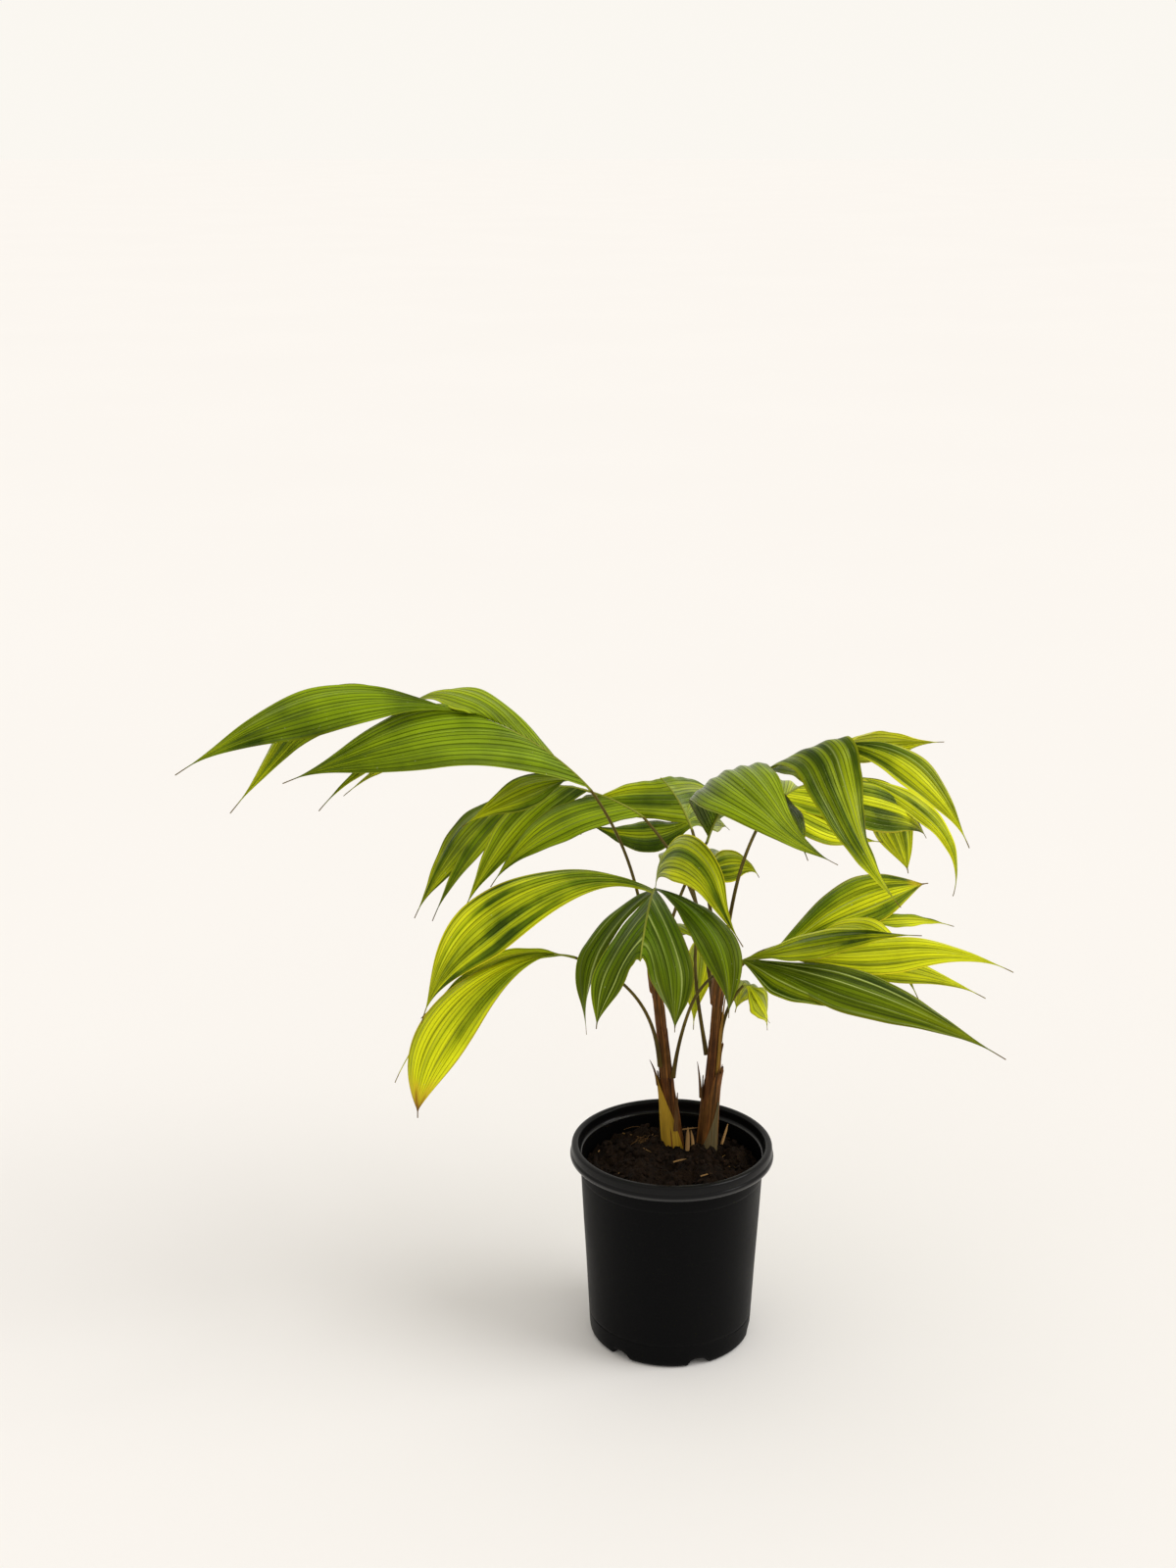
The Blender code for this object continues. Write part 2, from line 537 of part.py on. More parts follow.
def build():
    clear_scene()
    stem_material = make_material("stem", BROWN_STEM)
    stub_material = make_material("dead_stub", DEAD_STUB)
    stalk_material = make_material("stalk", STALK_BROWN)
    leaf_material = make_material("leaf", LEAF_GREEN)
    make_pot(make_material("pot_plastic", BLACK_PLASTIC))
    make_soil(make_material("soil", DARK_SOIL))
    for name, stem in STEMS.items():
        make_stem(name, stem, stem_material)
    for name, stub in STUBS.items():
        start = beside_stem(STEMS[stub.stem], stub.height, stub.side, STUB_RADII[0])
        path, _ = walk(start, (stub.side, stub.side), stub.lean, stub.length, 4)
        tube(name, path, STUB_RADII, STALK_SIDES, stub_material)
    for name, frond in FRONDS.items():
        make_frond(name, frond, stalk_material, leaf_material)


build()
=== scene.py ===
"""A young clumping palm in a black nursery pot, dressed over its solids: pleated drooping
leaflets, fibrous leaning stems, crumbly soil with straws, and a ribbed-lip plastic pot."""

import math
from collections import namedtuple

import bpy
import numpy as np
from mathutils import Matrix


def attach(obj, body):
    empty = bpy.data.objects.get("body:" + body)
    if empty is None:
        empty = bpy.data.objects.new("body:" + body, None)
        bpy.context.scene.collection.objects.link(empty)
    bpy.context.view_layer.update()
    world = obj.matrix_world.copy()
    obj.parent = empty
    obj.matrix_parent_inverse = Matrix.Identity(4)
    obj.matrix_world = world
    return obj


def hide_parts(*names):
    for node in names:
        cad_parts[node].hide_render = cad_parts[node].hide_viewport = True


# Camera
CAMERA_PLACE = (-0.0834, -1.9673, 1.1847)
CAMERA_TILT = 72.9

# Pot
RIM_RADIUS = 0.100
POT_HEIGHT = 0.208
WALL = 0.0022
LIP_DROP = 0.016
LIP_STEP = 0.0075
BODY_TOP_RADIUS = 0.0915
BODY_FOOT_RADIUS = 0.0815
FOOT_ROUND = 0.007
FLOOR = 0.004
NOTCH_COUNT = 6
NOTCH_WIDTH = 0.022
NOTCH_HEIGHT = 0.0065
NOTCH_DEPTH = 0.005
NOTCH_TURN = 49.0
POT_SIDES = 192

# Soil
SOIL_LEVEL = 0.1845
SOIL_EDGE_LEVEL = 0.1790
SOIL_PLATEAU = 0.068

# Stems: foot and top of each axis, radii from foot to top
GAP = 0.0003
Stem = namedtuple("Stem", "foot top radii")
STEMS = {
    "stem_1": Stem((0.003, 0.040), (-0.017, 0.036, 0.376), (0.0110, 0.0076, 0.0066, 0.0064)),
    "stem_2": Stem((0.037, 0.035), (0.047, 0.038, 0.368), (0.0108, 0.0086, 0.0062, 0.0064)),
}
STEM_SIDES = 12
Stub = namedtuple("Stub", "stem height side length lean")
STUBS = {
    "stub_1": Stub("stem_1", 0.252, 195, 0.030, (84, 62)),
    "stub_2": Stub("stem_1", 0.205, 290, 0.044, (88, 82)),
    "stub_3": Stub("stem_2", 0.240, 200, 0.040, (88, 80)),
}
STUB_RADII = (0.0022, 0.0012)

# Stalks and rachises
STALK_RADII = (0.0021, 0.0016)
RACHIS_RADII = (0.0014, 0.0008)
CROWN_RING = 0.0046
SIDE_FIT = 0.95

# Leaflets: a foot is a stretch of the rachis. Swing is the heading against the rachis, left
# positive; pitch is degrees above the level; roll turns the blade on its midline. Lime, burn and
# pale are shares from 0 to 1: how yellow-green it is, which also paints the glow of light shining
# through the blade, how much of its tip is brown, and how pale its broad ribs stand out.
Leaf = namedtuple(
    "Leaf", "foot length width swing pitch roll widest cup taper lime burn pale",
    defaults=(0.38, 0.10, 1.9, 0.15, 0.05, 0.12),
)
Frond = namedtuple("Frond", "stem height side heading pitch stalk turn bend rachis leaves")

FRONDS = {
    "frond_a": Frond("stem_1", None, 205, (200, 193), (84, 74, 56), 0.203, (191, 189), (50, 15), 0.165, [
        Leaf((0.02, 0.90), 0.246, 0.066, (14, 10, 2), (24, -10, -20), (-35, -45), 0.45, 0.06, lime=0.05),
        Leaf((0.88, 1.00), 0.276, 0.050, (12, 8, 1), (22, -12, -33), (-40, -50), 0.48, 0.10, 1.9, lime=0.05, burn=0.03),
        Leaf((0.90, 1.00), 0.258, 0.045, (-4, -6, -4), (12, 0, -54, -50), (-50, -60), 0.42, lime=0.18, burn=0.03),
        Leaf((0.79, 0.86), 0.175, 0.014, (-3, -3, 0), (-16, -28, -50), (-40, -50), 0.50, lime=0.2, burn=0.05),
        Leaf((0.60, 0.80), 0.164, 0.034, (-6, -8, -6), (2, -32, -40), (-30, -30), lime=0.5),
        Leaf((0.30, 0.86), 0.130, 0.060, (-22, -26, -30), (56, 6, -46), (-20, 10), lime=0.12),
        Leaf((0.00, 0.14), 0.125, 0.040, (-12, -6, 0), (0, -24, -34), (-40, -50), lime=0.2),
    ]),
    "frond_b": Frond("stem_2", None, 165, (150, 143), (80, 62, 36), 0.176, (156, 172), (28, 10, -26), 0.137, [
        Leaf((0.00, 0.36), 0.160, 0.042, (38, 36, 34), (-2, -28, -58), (-30, -50), lime=0.12),
        Leaf((0.46, 0.84), 0.164, 0.036, (36, 32, 26), (-26, -52, -66), (-30, -60), lime=0.16),
        Leaf((0.84, 0.98), 0.182, 0.046, (10, 16, 16), (-24, -52, -66), (-30, -55), lime=0.2),
        Leaf((0.74, 0.92), 0.178, 0.028, (24, 22, 18), (-26, -54, -68), (-30, -50), lime=0.22),
        Leaf((0.05, 0.40), 0.100, 0.040, (-34, -44, -48), (-8, -38, -60), (20, 40), lime=0.15),
        Leaf((0.45, 0.84), 0.140, 0.045, (-60, -64, -66), (-12, -24, -44), (20, 40), lime=0.15),
    ]),
    "frond_c": Frond("stem_1", 0.275, 238, (240, 205), (80, 52, 26), 0.188, (203, 201), (24, 8), 0.022, [
        Leaf((0.04, 0.60), 0.162, 0.034, (-4, -20, -28), (18, -30, -48), (50, 65), lime=0.4),
        Leaf((0.30, 0.98), 0.228, 0.050, (0, 2, -2), (6, -32, -58, -90), (-40, -60), 0.62, 0.10, 1.1, lime=0.72, burn=0.24),
        Leaf((0.60, 0.80), 0.208, 0.014, (-6, -6, -4), (0, -36, -66), (-20, -20), lime=0.5),
    ]),
    "frond_d": Frond("stem_1", None, 275, (270, 264), (82, 72, 50), 0.108, (264, 257), (22, -58), 0.118, [
        Leaf((0.02, 0.30), 0.166, 0.022, (-46, -52, 62), (-12, -54, -86), (-10, -50), 0.5, 0.10, 1.4, lime=0.02, pale=0.9),
        Leaf((0.26, 1.00), 0.114, 0.033, (-45, -54, -14), (-38, -61, -76), (-10, -50), 0.5, 0.08, 1.4, lime=0.02, pale=0.8),
        Leaf((0.10, 1.00), 0.118, 0.042, (44, 38, 0), (-34, -62, -84), (10, 45), 0.5, 0.10, 1.3, lime=0.02, pale=0.9),
        Leaf((0.00, 0.14), 0.157, 0.041, (56, 64, -10), (-2, -50, -86), (10, 45), 0.5, 0.10, 1.4, lime=0.02, pale=0.9),
        Leaf((0.16, 0.28), 0.286, 0.056, (-62, -62, -58), (32, -10, -38, -74), (-10, -50, -60), 0.62, lime=0.38),
        Leaf((0.00, 0.12), 0.178, 0.047, (28, 46, 62), (78, 20, -56, -50), (60, 70), 0.38, lime=0.42, pale=0.3),
    ]),
    "frond_e": Frond("stem_1", None, 350, (325, 326), (80, 70, 60), 0.1525, (332, 352), (75, 34, 10), 0.189, [
        Leaf((0.03, 0.46), 0.216, 0.084, (-90, -54, -4, 28), (68, 6, -42, -28), (0, 20), 0.40, 0.08, 1.6, lime=0.07, pale=0.2),
        Leaf((0.52, 0.94), 0.198, 0.050, (-50, -40, 2, 10), (56, -58, -66, -58, -50), (10, 30), 0.38, 0.08, 1.6, lime=0.20, pale=0.35),
        Leaf((0.88, 1.00), 0.158, 0.036, (-8, -12, -10), (2, -40, -66), (30, 50), 0.42, lime=0.48, pale=0.3),
        Leaf((0.74, 0.96), 0.122, 0.052, (50, 24, 14), (-4, -2, 0), (-50, -50), lime=0.65),
        Leaf((0.10, 0.50), 0.130, 0.055, (45, 60, 60), (-10, -45, -66), (-10, -30), lime=0.2),
        Leaf((0.50, 0.74), 0.130, 0.055, (40, 50, 55), (-10, -45, -66), (-10, -30), lime=0.2),
    ]),
    "frond_f": Frond("stem_2", None, 45, (66, 45), (80, 66, 40), 0.174, (42, 16), (28, -8), 0.110, [
        Leaf((0.10, 0.60), 0.160, 0.056, (-34, -24, -2), (-10, -12, -22, -60), (40, 55), 0.52, 0.12, 1.3, lime=0.5),
        Leaf((0.00, 0.25), 0.120, 0.040, (-45, -35, -20), (-30, -26, -10), (40, 50), lime=0.5),
        Leaf((0.74, 1.00), 0.142, 0.050, (-24, 6, 16), (-20, -62, -74), (50, 120), 0.45, 0.08, 1.2, lime=0.5),
        Leaf((0.90, 1.00), 0.184, 0.026, (-20, -30, -34), (-12, -40, -104), (30, 50), lime=0.45),
        Leaf((0.05, 0.45), 0.140, 0.050, (45, 55, 60), (10, -30, -60), (20, 30), lime=0.25),
        Leaf((0.50, 0.95), 0.150, 0.050, (30, 35, 35), (0, -30, -60), (20, 30), lime=0.25),
    ]),
    "frond_g": Frond("stem_2", None, 105, (110, 112), (76, 62, 48), 0.148, (115, 120), (44, 16), 0.075, [
        Leaf((0.10, 1.00), 0.104, 0.040, (50, 50, 50), (-4, -6, -18), (-40, -50), lime=0.2),
        Leaf((0.30, 1.00), 0.110, 0.038, (-60, -66, -66), (-8, -18, -40), (40, 50), lime=0.2),
        Leaf((0.00, 0.20), 0.108, 0.036, (60, 62, 55), (-34, 2, 22), (-40, -50), lime=0.2),
        Leaf((0.00, 0.30), 0.100, 0.045, (-50, -60, -60), (0, -24, -40), (30, 50), lime=0.2),
    ]),
    "frond_h": Frond("stem_1", 0.262, 318, (312, 334), (82, 70, 30), 0.163, (336, 345), (20, 5), 0.055, [
        Leaf((0.00, 0.35), 0.264, 0.050, (-6, 0, 6), (-2, -12, -28), (30, 50), lime=0.09, pale=0.95),
        Leaf((0.75, 1.00), 0.230, 0.040, (15, 22, 25), (-2, 4, -30), (40, 50), lime=0.95),
        Leaf((0.60, 0.80), 0.224, 0.030, (26, 28, 27), (-8, -10, -32), (40, 50), 0.50, lime=0.85),
        Leaf((0.00, 0.30), 0.174, 0.040, (4, 6, 8), (22, 17, 2), (20, 30), lime=0.38, pale=0.3),
        Leaf((0.00, 0.20), 0.122, 0.040, (-13, -10, -3), (-10, -14, -18), (30, 40), lime=0.2, pale=0.6),
    ]),
    "frond_i": Frond("stem_2", 0.350, 15, (35, 18), (74, 40, 14), 0.060, (15, 12), (14, 6), 0.110, [
        Leaf((0.30, 0.55), 0.154, 0.034, (-35, -50, -64), (34, 6, -48, -54), (40, 20), lime=0.65, pale=0.3),
        Leaf((0.15, 0.50), 0.152, 0.054, (15, 6, -4), (32, 15, 4), (40, 50), 0.54, 0.12, 1.2, lime=0.36, burn=0.17, pale=0.5),
        Leaf((0.84, 0.96), 0.105, 0.020, (2, 0, 0), (4, -2, -22), (30, 30), lime=0.45),
        Leaf((0.58, 0.92), 0.130, 0.045, (45, 50, 50), (0, -30, -56), (20, 30), lime=0.22),
        Leaf((0.66, 0.78), 0.060, 0.014, (-14, -10, -6), (-6, -12, -20), (40, 40), lime=0.4),
    ]),
    "frond_j": Frond("stem_2", 0.296, 50, (55, 36), (78, 60, 30), 0.062, (36, 40), (0, -30), 0.014, [
        Leaf((0.20, 1.00), 0.056, 0.040, (-44, -24, 20), (-44, -70, -86), (40, 40), lime=0.8),
        Leaf((0.00, 0.40), 0.050, 0.010, (-30, -30, -20), (-56, -60, -60), (0, 0), lime=0.6),
        Leaf((0.50, 1.00), 0.110, 0.040, (50, 60, 60), (-10, -40, -60), (20, 20), lime=0.3),
    ]),
    "frond_k": Frond("stem_2", 0.282, 138, (130, 80), (76, 64, 50), 0.115, (75, 78), (30, -40), 0.030, [
        Leaf((0.20, 1.00), 0.130, 0.044, (10, 22, 30), (-50, -78, -86), (-30, -20), lime=0.65),
        Leaf((0.10, 0.80), 0.120, 0.040, (45, 45, 45), (10, -40, -66), (20, 20), lime=0.3),
    ]),
    "frond_l": Frond("stem_2", 0.340, 122, (125, 110), (78, 68, 50), 0.125, (60, 40), (4, -6), 0.030, [
        Leaf((0.00, 1.00), 0.072, 0.040, (-36, -36, -30), (20, 4, -66), (40, 50), 0.40, lime=0.65),
        Leaf((0.60, 1.00), 0.120, 0.045, (10, 20, 20), (20, -20, -50), (10, 10), lime=0.3),
        Leaf((0.30, 0.90), 0.120, 0.045, (60, 65, 65), (20, -20, -50), (20, 20), lime=0.2),
    ]),
}

# Fine leaf shapes
FOLD_WIDTH = 0.0085
FOLD_DEPTH = 0.0011
LEAF_THICKNESS = 0.00045
DRIP_WIDTH = 0.0010
FOOT_CLEAR = 0.0025
FOOT_ASIDE = 0.0008
FOOT_STAGGER = 0.0002

# Colours as linear red, green, blue
LEAF_DARK = (0.010, 0.030, 0.0006)
LEAF_MID = (0.074, 0.155, 0.0015)
LEAF_LIGHT = (0.27, 0.42, 0.003)
# Lime: yellow-green leaf colour, bright enough to paint the glow of light shining through the blade.
LEAF_LIME_GLOW = (0.88, 0.92, 0.012)
LEAF_CREST = (0.60, 0.72, 0.20)
LEAF_YELLOW = (0.75, 0.60, 0.02)
LEAF_BURNT = (0.34, 0.085, 0.010)
LEAF_THREAD = (0.17, 0.075, 0.02)
LEAF_FLECK = (0.62, 0.64, 0.42)
RIB_DARK, RIB_LIGHT, RIB_FRESH = (0.09, 0.10, 0.006), (0.24, 0.26, 0.02), (0.36, 0.40, 0.04)
STALK_DARK, STALK_LIGHT, STALK_FRESH = (0.040, 0.022, 0.004), (0.19, 0.13, 0.018), (0.20, 0.21, 0.01)
BARK_DARK, BARK_LIGHT, BARK_FRESH = (0.030, 0.010, 0.004), (0.32, 0.120, 0.028), (0.66, 0.40, 0.035)
BARK_GREY = (0.15, 0.15, 0.085)
STRAW_DARK, STRAW_LIGHT, STRAW_FRESH = (0.06, 0.025, 0.008), (0.26, 0.13, 0.04), (0.60, 0.36, 0.14)
SOIL_DARK, SOIL_BROWN, SOIL_LIGHT = (0.0044, 0.0030, 0.0019), (0.017, 0.0100, 0.0058), (0.050, 0.024, 0.011)
POT_BLACK, POT_HAZE, POT_SCUFF = (0.0020, 0.0021, 0.0024), (0.0032, 0.0032, 0.0033), (0.03, 0.03, 0.03)
FLOOR_TONE, FLOOR_LIGHT = (0.850, 0.842, 0.830), (0.857, 0.849, 0.837)

LEAF_GLOSS, POT_GLOSS = 0.36, 0.05
LEAF_GLOSS_TINT = (0.88, 1.0, 0.20)

# Floor and light: the dome's tones, and the key's height, side, spread in degrees and strength
FLOOR_REACH = 60.0
HORIZON_TONE, SIDE_TONE, ZENITH_TONE = (0.962, 0.932, 0.878), (0.52, 0.50, 0.47), (0.88, 0.84, 0.79)
DOME_RISE = 0.6
KEY_HEIGHT, KEY_SIDE, KEY_SPREAD = 39, -12, 40
KEY_STRENGTH = 1.45
KEY_TONE = (1.0, 0.99, 0.98)


# Shared shapes


def at_stations(values, s):
    """Values given at even steps along a run, read off at s from 0 to 1."""
    return np.interp(s, np.linspace(0, 1, len(values)), values)


def smooth_step(t):
    """Rises from 0 to 1 as three t squared less two t cubed, level at both ends."""
    t = np.clip(t, 0, 1)
    return t * t * (3 - 2 * t)


def lumps(x, y, seed):
    """Smooth noise from -1 to 1: seeded heights on a unit lattice, blended by smooth steps."""
    table = np.random.default_rng(seed).uniform(-1, 1, (64, 64))
    i, j = np.floor(x).astype(int), np.floor(y).astype(int)
    a, b = smooth_step(x - i), smooth_step(y - j)
    low = table[i % 64, j % 64] * (1 - a) + table[(i + 1) % 64, j % 64] * a
    high = table[i % 64, (j + 1) % 64] * (1 - a) + table[(i + 1) % 64, (j + 1) % 64] * a
    return low * (1 - b) + high * b


def walk(start, heading, pitch, length, steps):
    """A path walked in even hops as its heading and pitch change evenly. Returns its points, its
    directions and the level direction to its left at each point."""
    s = np.linspace(0, 1, steps + 1)
    h, p = np.radians(at_stations(heading, s)), np.radians(at_stations(pitch, s))
    aim = np.stack([np.cos(p) * np.cos(h), np.cos(p) * np.sin(h), np.sin(p)], -1)
    hops = (aim[1:] + aim[:-1]) / 2 * length / steps
    path = np.vstack([[start], np.asarray(start) + np.cumsum(hops, 0)])
    return path, aim, np.stack([-np.sin(h), np.cos(h), 0 * h], -1)


def grid_quads(rows, cols, wrap=False):
    """Quads over a grid of points, joined round from the last column to the first if it wraps."""
    row = np.arange(rows - 1)[:, None]
    col = np.arange(cols if wrap else cols - 1)[None]
    a, b = row * cols + col, row * cols + (col + 1) % cols
    return np.stack([a, b, b + cols, a + cols], -1).reshape(-1, 4)


# Points, quads, end caps, texture places, a mark per point for the material, and a finish number
Shell = namedtuple("Shell", "points quads caps uv marks finish")


def thin_shell(grid, thickness, uv, marks, finish=0):
    """A closed thin sheet: a grid moved half its thickness each way along its normals, with its
    rims bridged. The thickness may change from point to point."""
    rows, cols = grid.shape[:2]
    normal = np.cross(np.gradient(grid, axis=0), np.gradient(grid, axis=1))
    normal /= np.linalg.norm(normal, axis=2)[..., None] + 1e-12
    half = normal * (np.ones((rows, cols)) * thickness)[..., None] / 2
    points = np.concatenate([(grid + half).reshape(-1, 3), (grid - half).reshape(-1, 3)])
    quads = grid_quads(rows, cols)
    under = rows * cols
    rim = np.concatenate([
        np.arange(rows) * cols,
        (rows - 1) * cols + np.arange(1, cols),
        np.arange(rows - 2, -1, -1) * cols + cols - 1,
        np.arange(cols - 2, 0, -1),
    ])
    after = np.roll(rim, -1)
    strip = np.stack([rim, under + rim, under + after, after], -1)
    quads = np.concatenate([quads[:, ::-1], quads + under, strip])
    doubled = {key: np.tile(np.ravel(mark), 2) for key, mark in marks.items()}
    return Shell(points, quads, [], np.tile(uv.reshape(-1, 2), (2, 1)), doubled, finish)


def ring_shell(rings, uv, marks, finish=0):
    """A closed bar: rings of points joined round and along, with a flat cap at each end."""
    count, sides = rings.shape[:2]
    caps = [list(range(sides))[::-1], list(range((count - 1) * sides, count * sides))]
    flat = {key: np.ravel(mark) for key, mark in marks.items()}
    return Shell(rings.reshape(-1, 3), grid_quads(count, sides, True), caps, uv.reshape(-1, 2), flat, finish)


def bar_shell(path, level, aim, radii, sides, marks, finish=0, squeeze=1.0):
    """A bar round a path: at each point a ring spanned by the level direction and the one square
    to it, its radius read from the stations, its height squeezed by a share."""
    up = np.cross(aim, level)
    turn = np.arange(sides) * math.tau / sides
    s = np.linspace(0, 1, len(path))
    radius = at_stations(radii, s)[:, None, None]
    spoke = np.cos(turn)[None, :, None] * level[:, None] + squeeze * np.sin(turn)[None, :, None] * up[:, None]
    rings = path[:, None] + radius * spoke
    length = np.linalg.norm(np.diff(path, axis=0), axis=1).sum()
    uv = np.stack(np.broadcast_arrays(s[:, None] * length, turn[None] * 0.002), -1)
    full = {key: np.broadcast_to(at_stations(mark, s)[:, None], (len(path), sides)) for key, mark in marks.items()}
    return ring_shell(rings, uv, full, finish)


MARKS = ("along", "across", "fold", "lime", "burn", "pale")


def make_piece(name, shells, finishes, slot, *nodes):
    """One object from shells, with the texture places, the marks and a finish for each face. It
    rides on the plant's one body and stands for the named solids."""
    starts = np.cumsum([0] + [len(shell.points) for shell in shells])
    faces, finish = [], []
    for shell, start in zip(shells, starts):
        faces += (shell.quads + start).tolist() + [[k + int(start) for k in cap] for cap in shell.caps]
        finish += [shell.finish] * (len(shell.quads) + len(shell.caps))
    mesh = bpy.data.meshes.new(name)
    mesh.from_pydata(np.concatenate([shell.points for shell in shells]).tolist(), [], faces)
    corner = np.empty(len(mesh.loops), int)
    mesh.loops.foreach_get("vertex_index", corner)
    uv = np.concatenate([shell.uv for shell in shells])[corner]
    mesh.uv_layers.new(name="surface").data.foreach_set("uv", uv.astype(np.float32).ravel())
    for key in MARKS:
        values = np.concatenate([shell.marks.get(key, np.zeros(len(shell.points))) for shell in shells])
        mesh.attributes.new(key, "FLOAT", "POINT").data.foreach_set("value", values.astype(np.float32))
    for material in finishes:
        mesh.materials.append(material)
    mesh.polygons.foreach_set("material_index", finish)
    mesh.shade_smooth()
    mesh.set_sharp_from_angle(angle=math.radians(50))
    piece = bpy.data.objects.new(name, mesh)
    bpy.context.scene.collection.objects.link(piece)
    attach(piece, "root")
    if nodes:
        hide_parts(*nodes)
    return piece


# Leaves and stalks


def stem_axis(stem, height):
    """The stem's axis points and radii at heights: straight from foot to top."""
    t = (np.asarray(height) - SOIL_LEVEL) / (stem.top[2] - SOIL_LEVEL)
    x = stem.foot[0] + (stem.top[0] - stem.foot[0]) * t
    y = stem.foot[1] + (stem.top[1] - stem.foot[1]) * t
    return np.stack([x, y, np.broadcast_to(height, np.shape(t))], -1), at_stations(stem.radii, t)


def beside_stem(stem, height, side, radius):
    """A point beside the stem where a bar of this radius stands a gap clear of it."""
    centre, stem_radius = stem_axis(stem, height)
    reach = float(stem_radius) * math.cos(math.pi / STEM_SIDES) + radius * SIDE_FIT + GAP
    return centre + reach * np.array([math.cos(math.radians(side)), math.sin(math.radians(side)), 0])


def frond_start(frond):
    """Where the stalk begins: beside the stem, or in the ring on its top."""
    stem = STEMS[frond.stem]
    if frond.height is not None:
        return beside_stem(stem, frond.height, frond.side, STALK_RADII[0])
    side = math.radians(frond.side)
    return np.array(stem.top) + np.array([CROWN_RING * math.cos(side), CROWN_RING * math.sin(side), GAP * 3.5])


def leaf_widths(u, base, leaf):
    """Width along the leaflet: it widens smoothly to its widest, then tapers to a thread."""
    rise = base + (leaf.width - base) * smooth_step(u / leaf.widest)
    s = np.clip((u - leaf.widest) / (0.97 - leaf.widest), 0, 1)
    fall = leaf.width * (1 - s) ** leaf.taper * (1 + leaf.taper * s)
    return np.maximum(np.where(u < leaf.widest, rise, fall), DRIP_WIDTH)


def leaf_shell(frond, leaf, rachis, order, seed):
    """A pleated leaflet. Its midline is walked from the middle of its foot; the blade lies across
    it, cupped by the square of the place across, and leans back to its foot along the rachis by a
    square that fades out at six tenths. Folds are a softened triangle wave across the blade, which
    fades in from the foot and out to the tip; the margins wave a little and the whole blade
    wanders by smooth noise. The sheet thins towards its margins."""
    rows = int(np.clip(leaf.length / 0.0032, 24, 72))
    folds = max(2, round(leaf.width / FOLD_WIDTH))
    cols = min(48, max(12, folds * 6))
    u, v = np.linspace(0, 1, rows + 1), np.linspace(-1, 1, cols + 1)
    s = np.linspace(0, 1, len(rachis))
    start, end = max(leaf.foot[0], FOOT_CLEAR / frond.rachis), leaf.foot[1]
    share = (1 - v) / 2 if leaf.swing[0] > 0 else (1 + v) / 2
    foot_place = start + (end - start) * share
    foot_edge = np.stack([np.interp(foot_place, s, rachis[:, k]) for k in range(3)], -1)
    middle = (start + end) / 2
    foot_middle = [np.interp(middle, s, rachis[:, k]) for k in range(3)]
    base = min(np.linalg.norm(foot_edge[-1] - foot_edge[0]), leaf.width)
    heading = float(at_stations(frond.turn, middle))
    midline, aim, level = walk(
        foot_middle, [heading + a for a in leaf.swing], leaf.pitch, leaf.length, rows
    )
    up = np.cross(aim, level)
    roll = np.radians(at_stations(leaf.roll, u))[:, None]
    across = level * np.cos(roll) + up * np.sin(roll)
    normal = up * np.cos(roll) - level * np.sin(roll)
    width = leaf_widths(u, base, leaf)
    own_side = FOOT_ASIDE if leaf.swing[0] > 0 else -FOOT_ASIDE
    foot_edge = foot_edge + level[0] * own_side + np.array([0, 0, order * FOOT_STAGGER])
    U, V = np.meshgrid(u, v, indexing="ij")
    W = width[:, None]
    phase = seed * 2.4
    wander = 0.35 * lumps(U * 2.5 + seed, V * 1.5, 11)
    fold = np.arcsin(0.93 * np.sin(math.pi * folds * (V + 1) / 2 + phase + wander)) / 1.2
    strength = smooth_step(U / 0.12) * smooth_step((1 - U) / 0.3)
    lift = leaf.cup * W * (0.5 - V**2)
    lift = lift + fold * strength * np.minimum(FOLD_DEPTH, 0.16 * W / folds * 2)
    lift = lift + strength * W * 0.040 * lumps(U * 2.5 + seed * 3, V * 1.1 + seed, 5)
    margin = smooth_step((np.abs(V) - 0.55) / 0.45)
    lift = lift + strength * margin * 0.0006 * np.sin(U * (7 + seed % 5) * math.pi + phase + V)
    grid = midline[:, None] + across[:, None] * (V * W / 2)[..., None] + normal[:, None] * lift[..., None]
    fade = (1 - np.clip(u / 0.6, 0, 1)) ** 2
    grid = grid + fade[:, None, None] * (foot_edge - grid[0])[None]
    burnt = U - 1 + leaf.burn + 0.05 * lumps(U * 9, V * 3 + seed, 3)
    marks = {
        # The lime mark rises towards the tip: yellow-green colour and painted glow of light shining through the blade.
        "along": U, "across": V, "fold": fold * strength, "lime": leaf.lime * (0.6 + 0.7 * U**1.5) + 0.14 * U**3,
        "burn": smooth_step(burnt / 0.26) * (leaf.burn > 0), "pale": leaf.pale + 0 * U,
    }
    uv = np.stack([U * leaf.length + seed * 0.173, V * 0.5 * leaf.width + seed * 0.057], -1)
    thickness = LEAF_THICKNESS * (1 - 0.5 * margin)
    return thin_shell(grid, thickness, uv, marks)


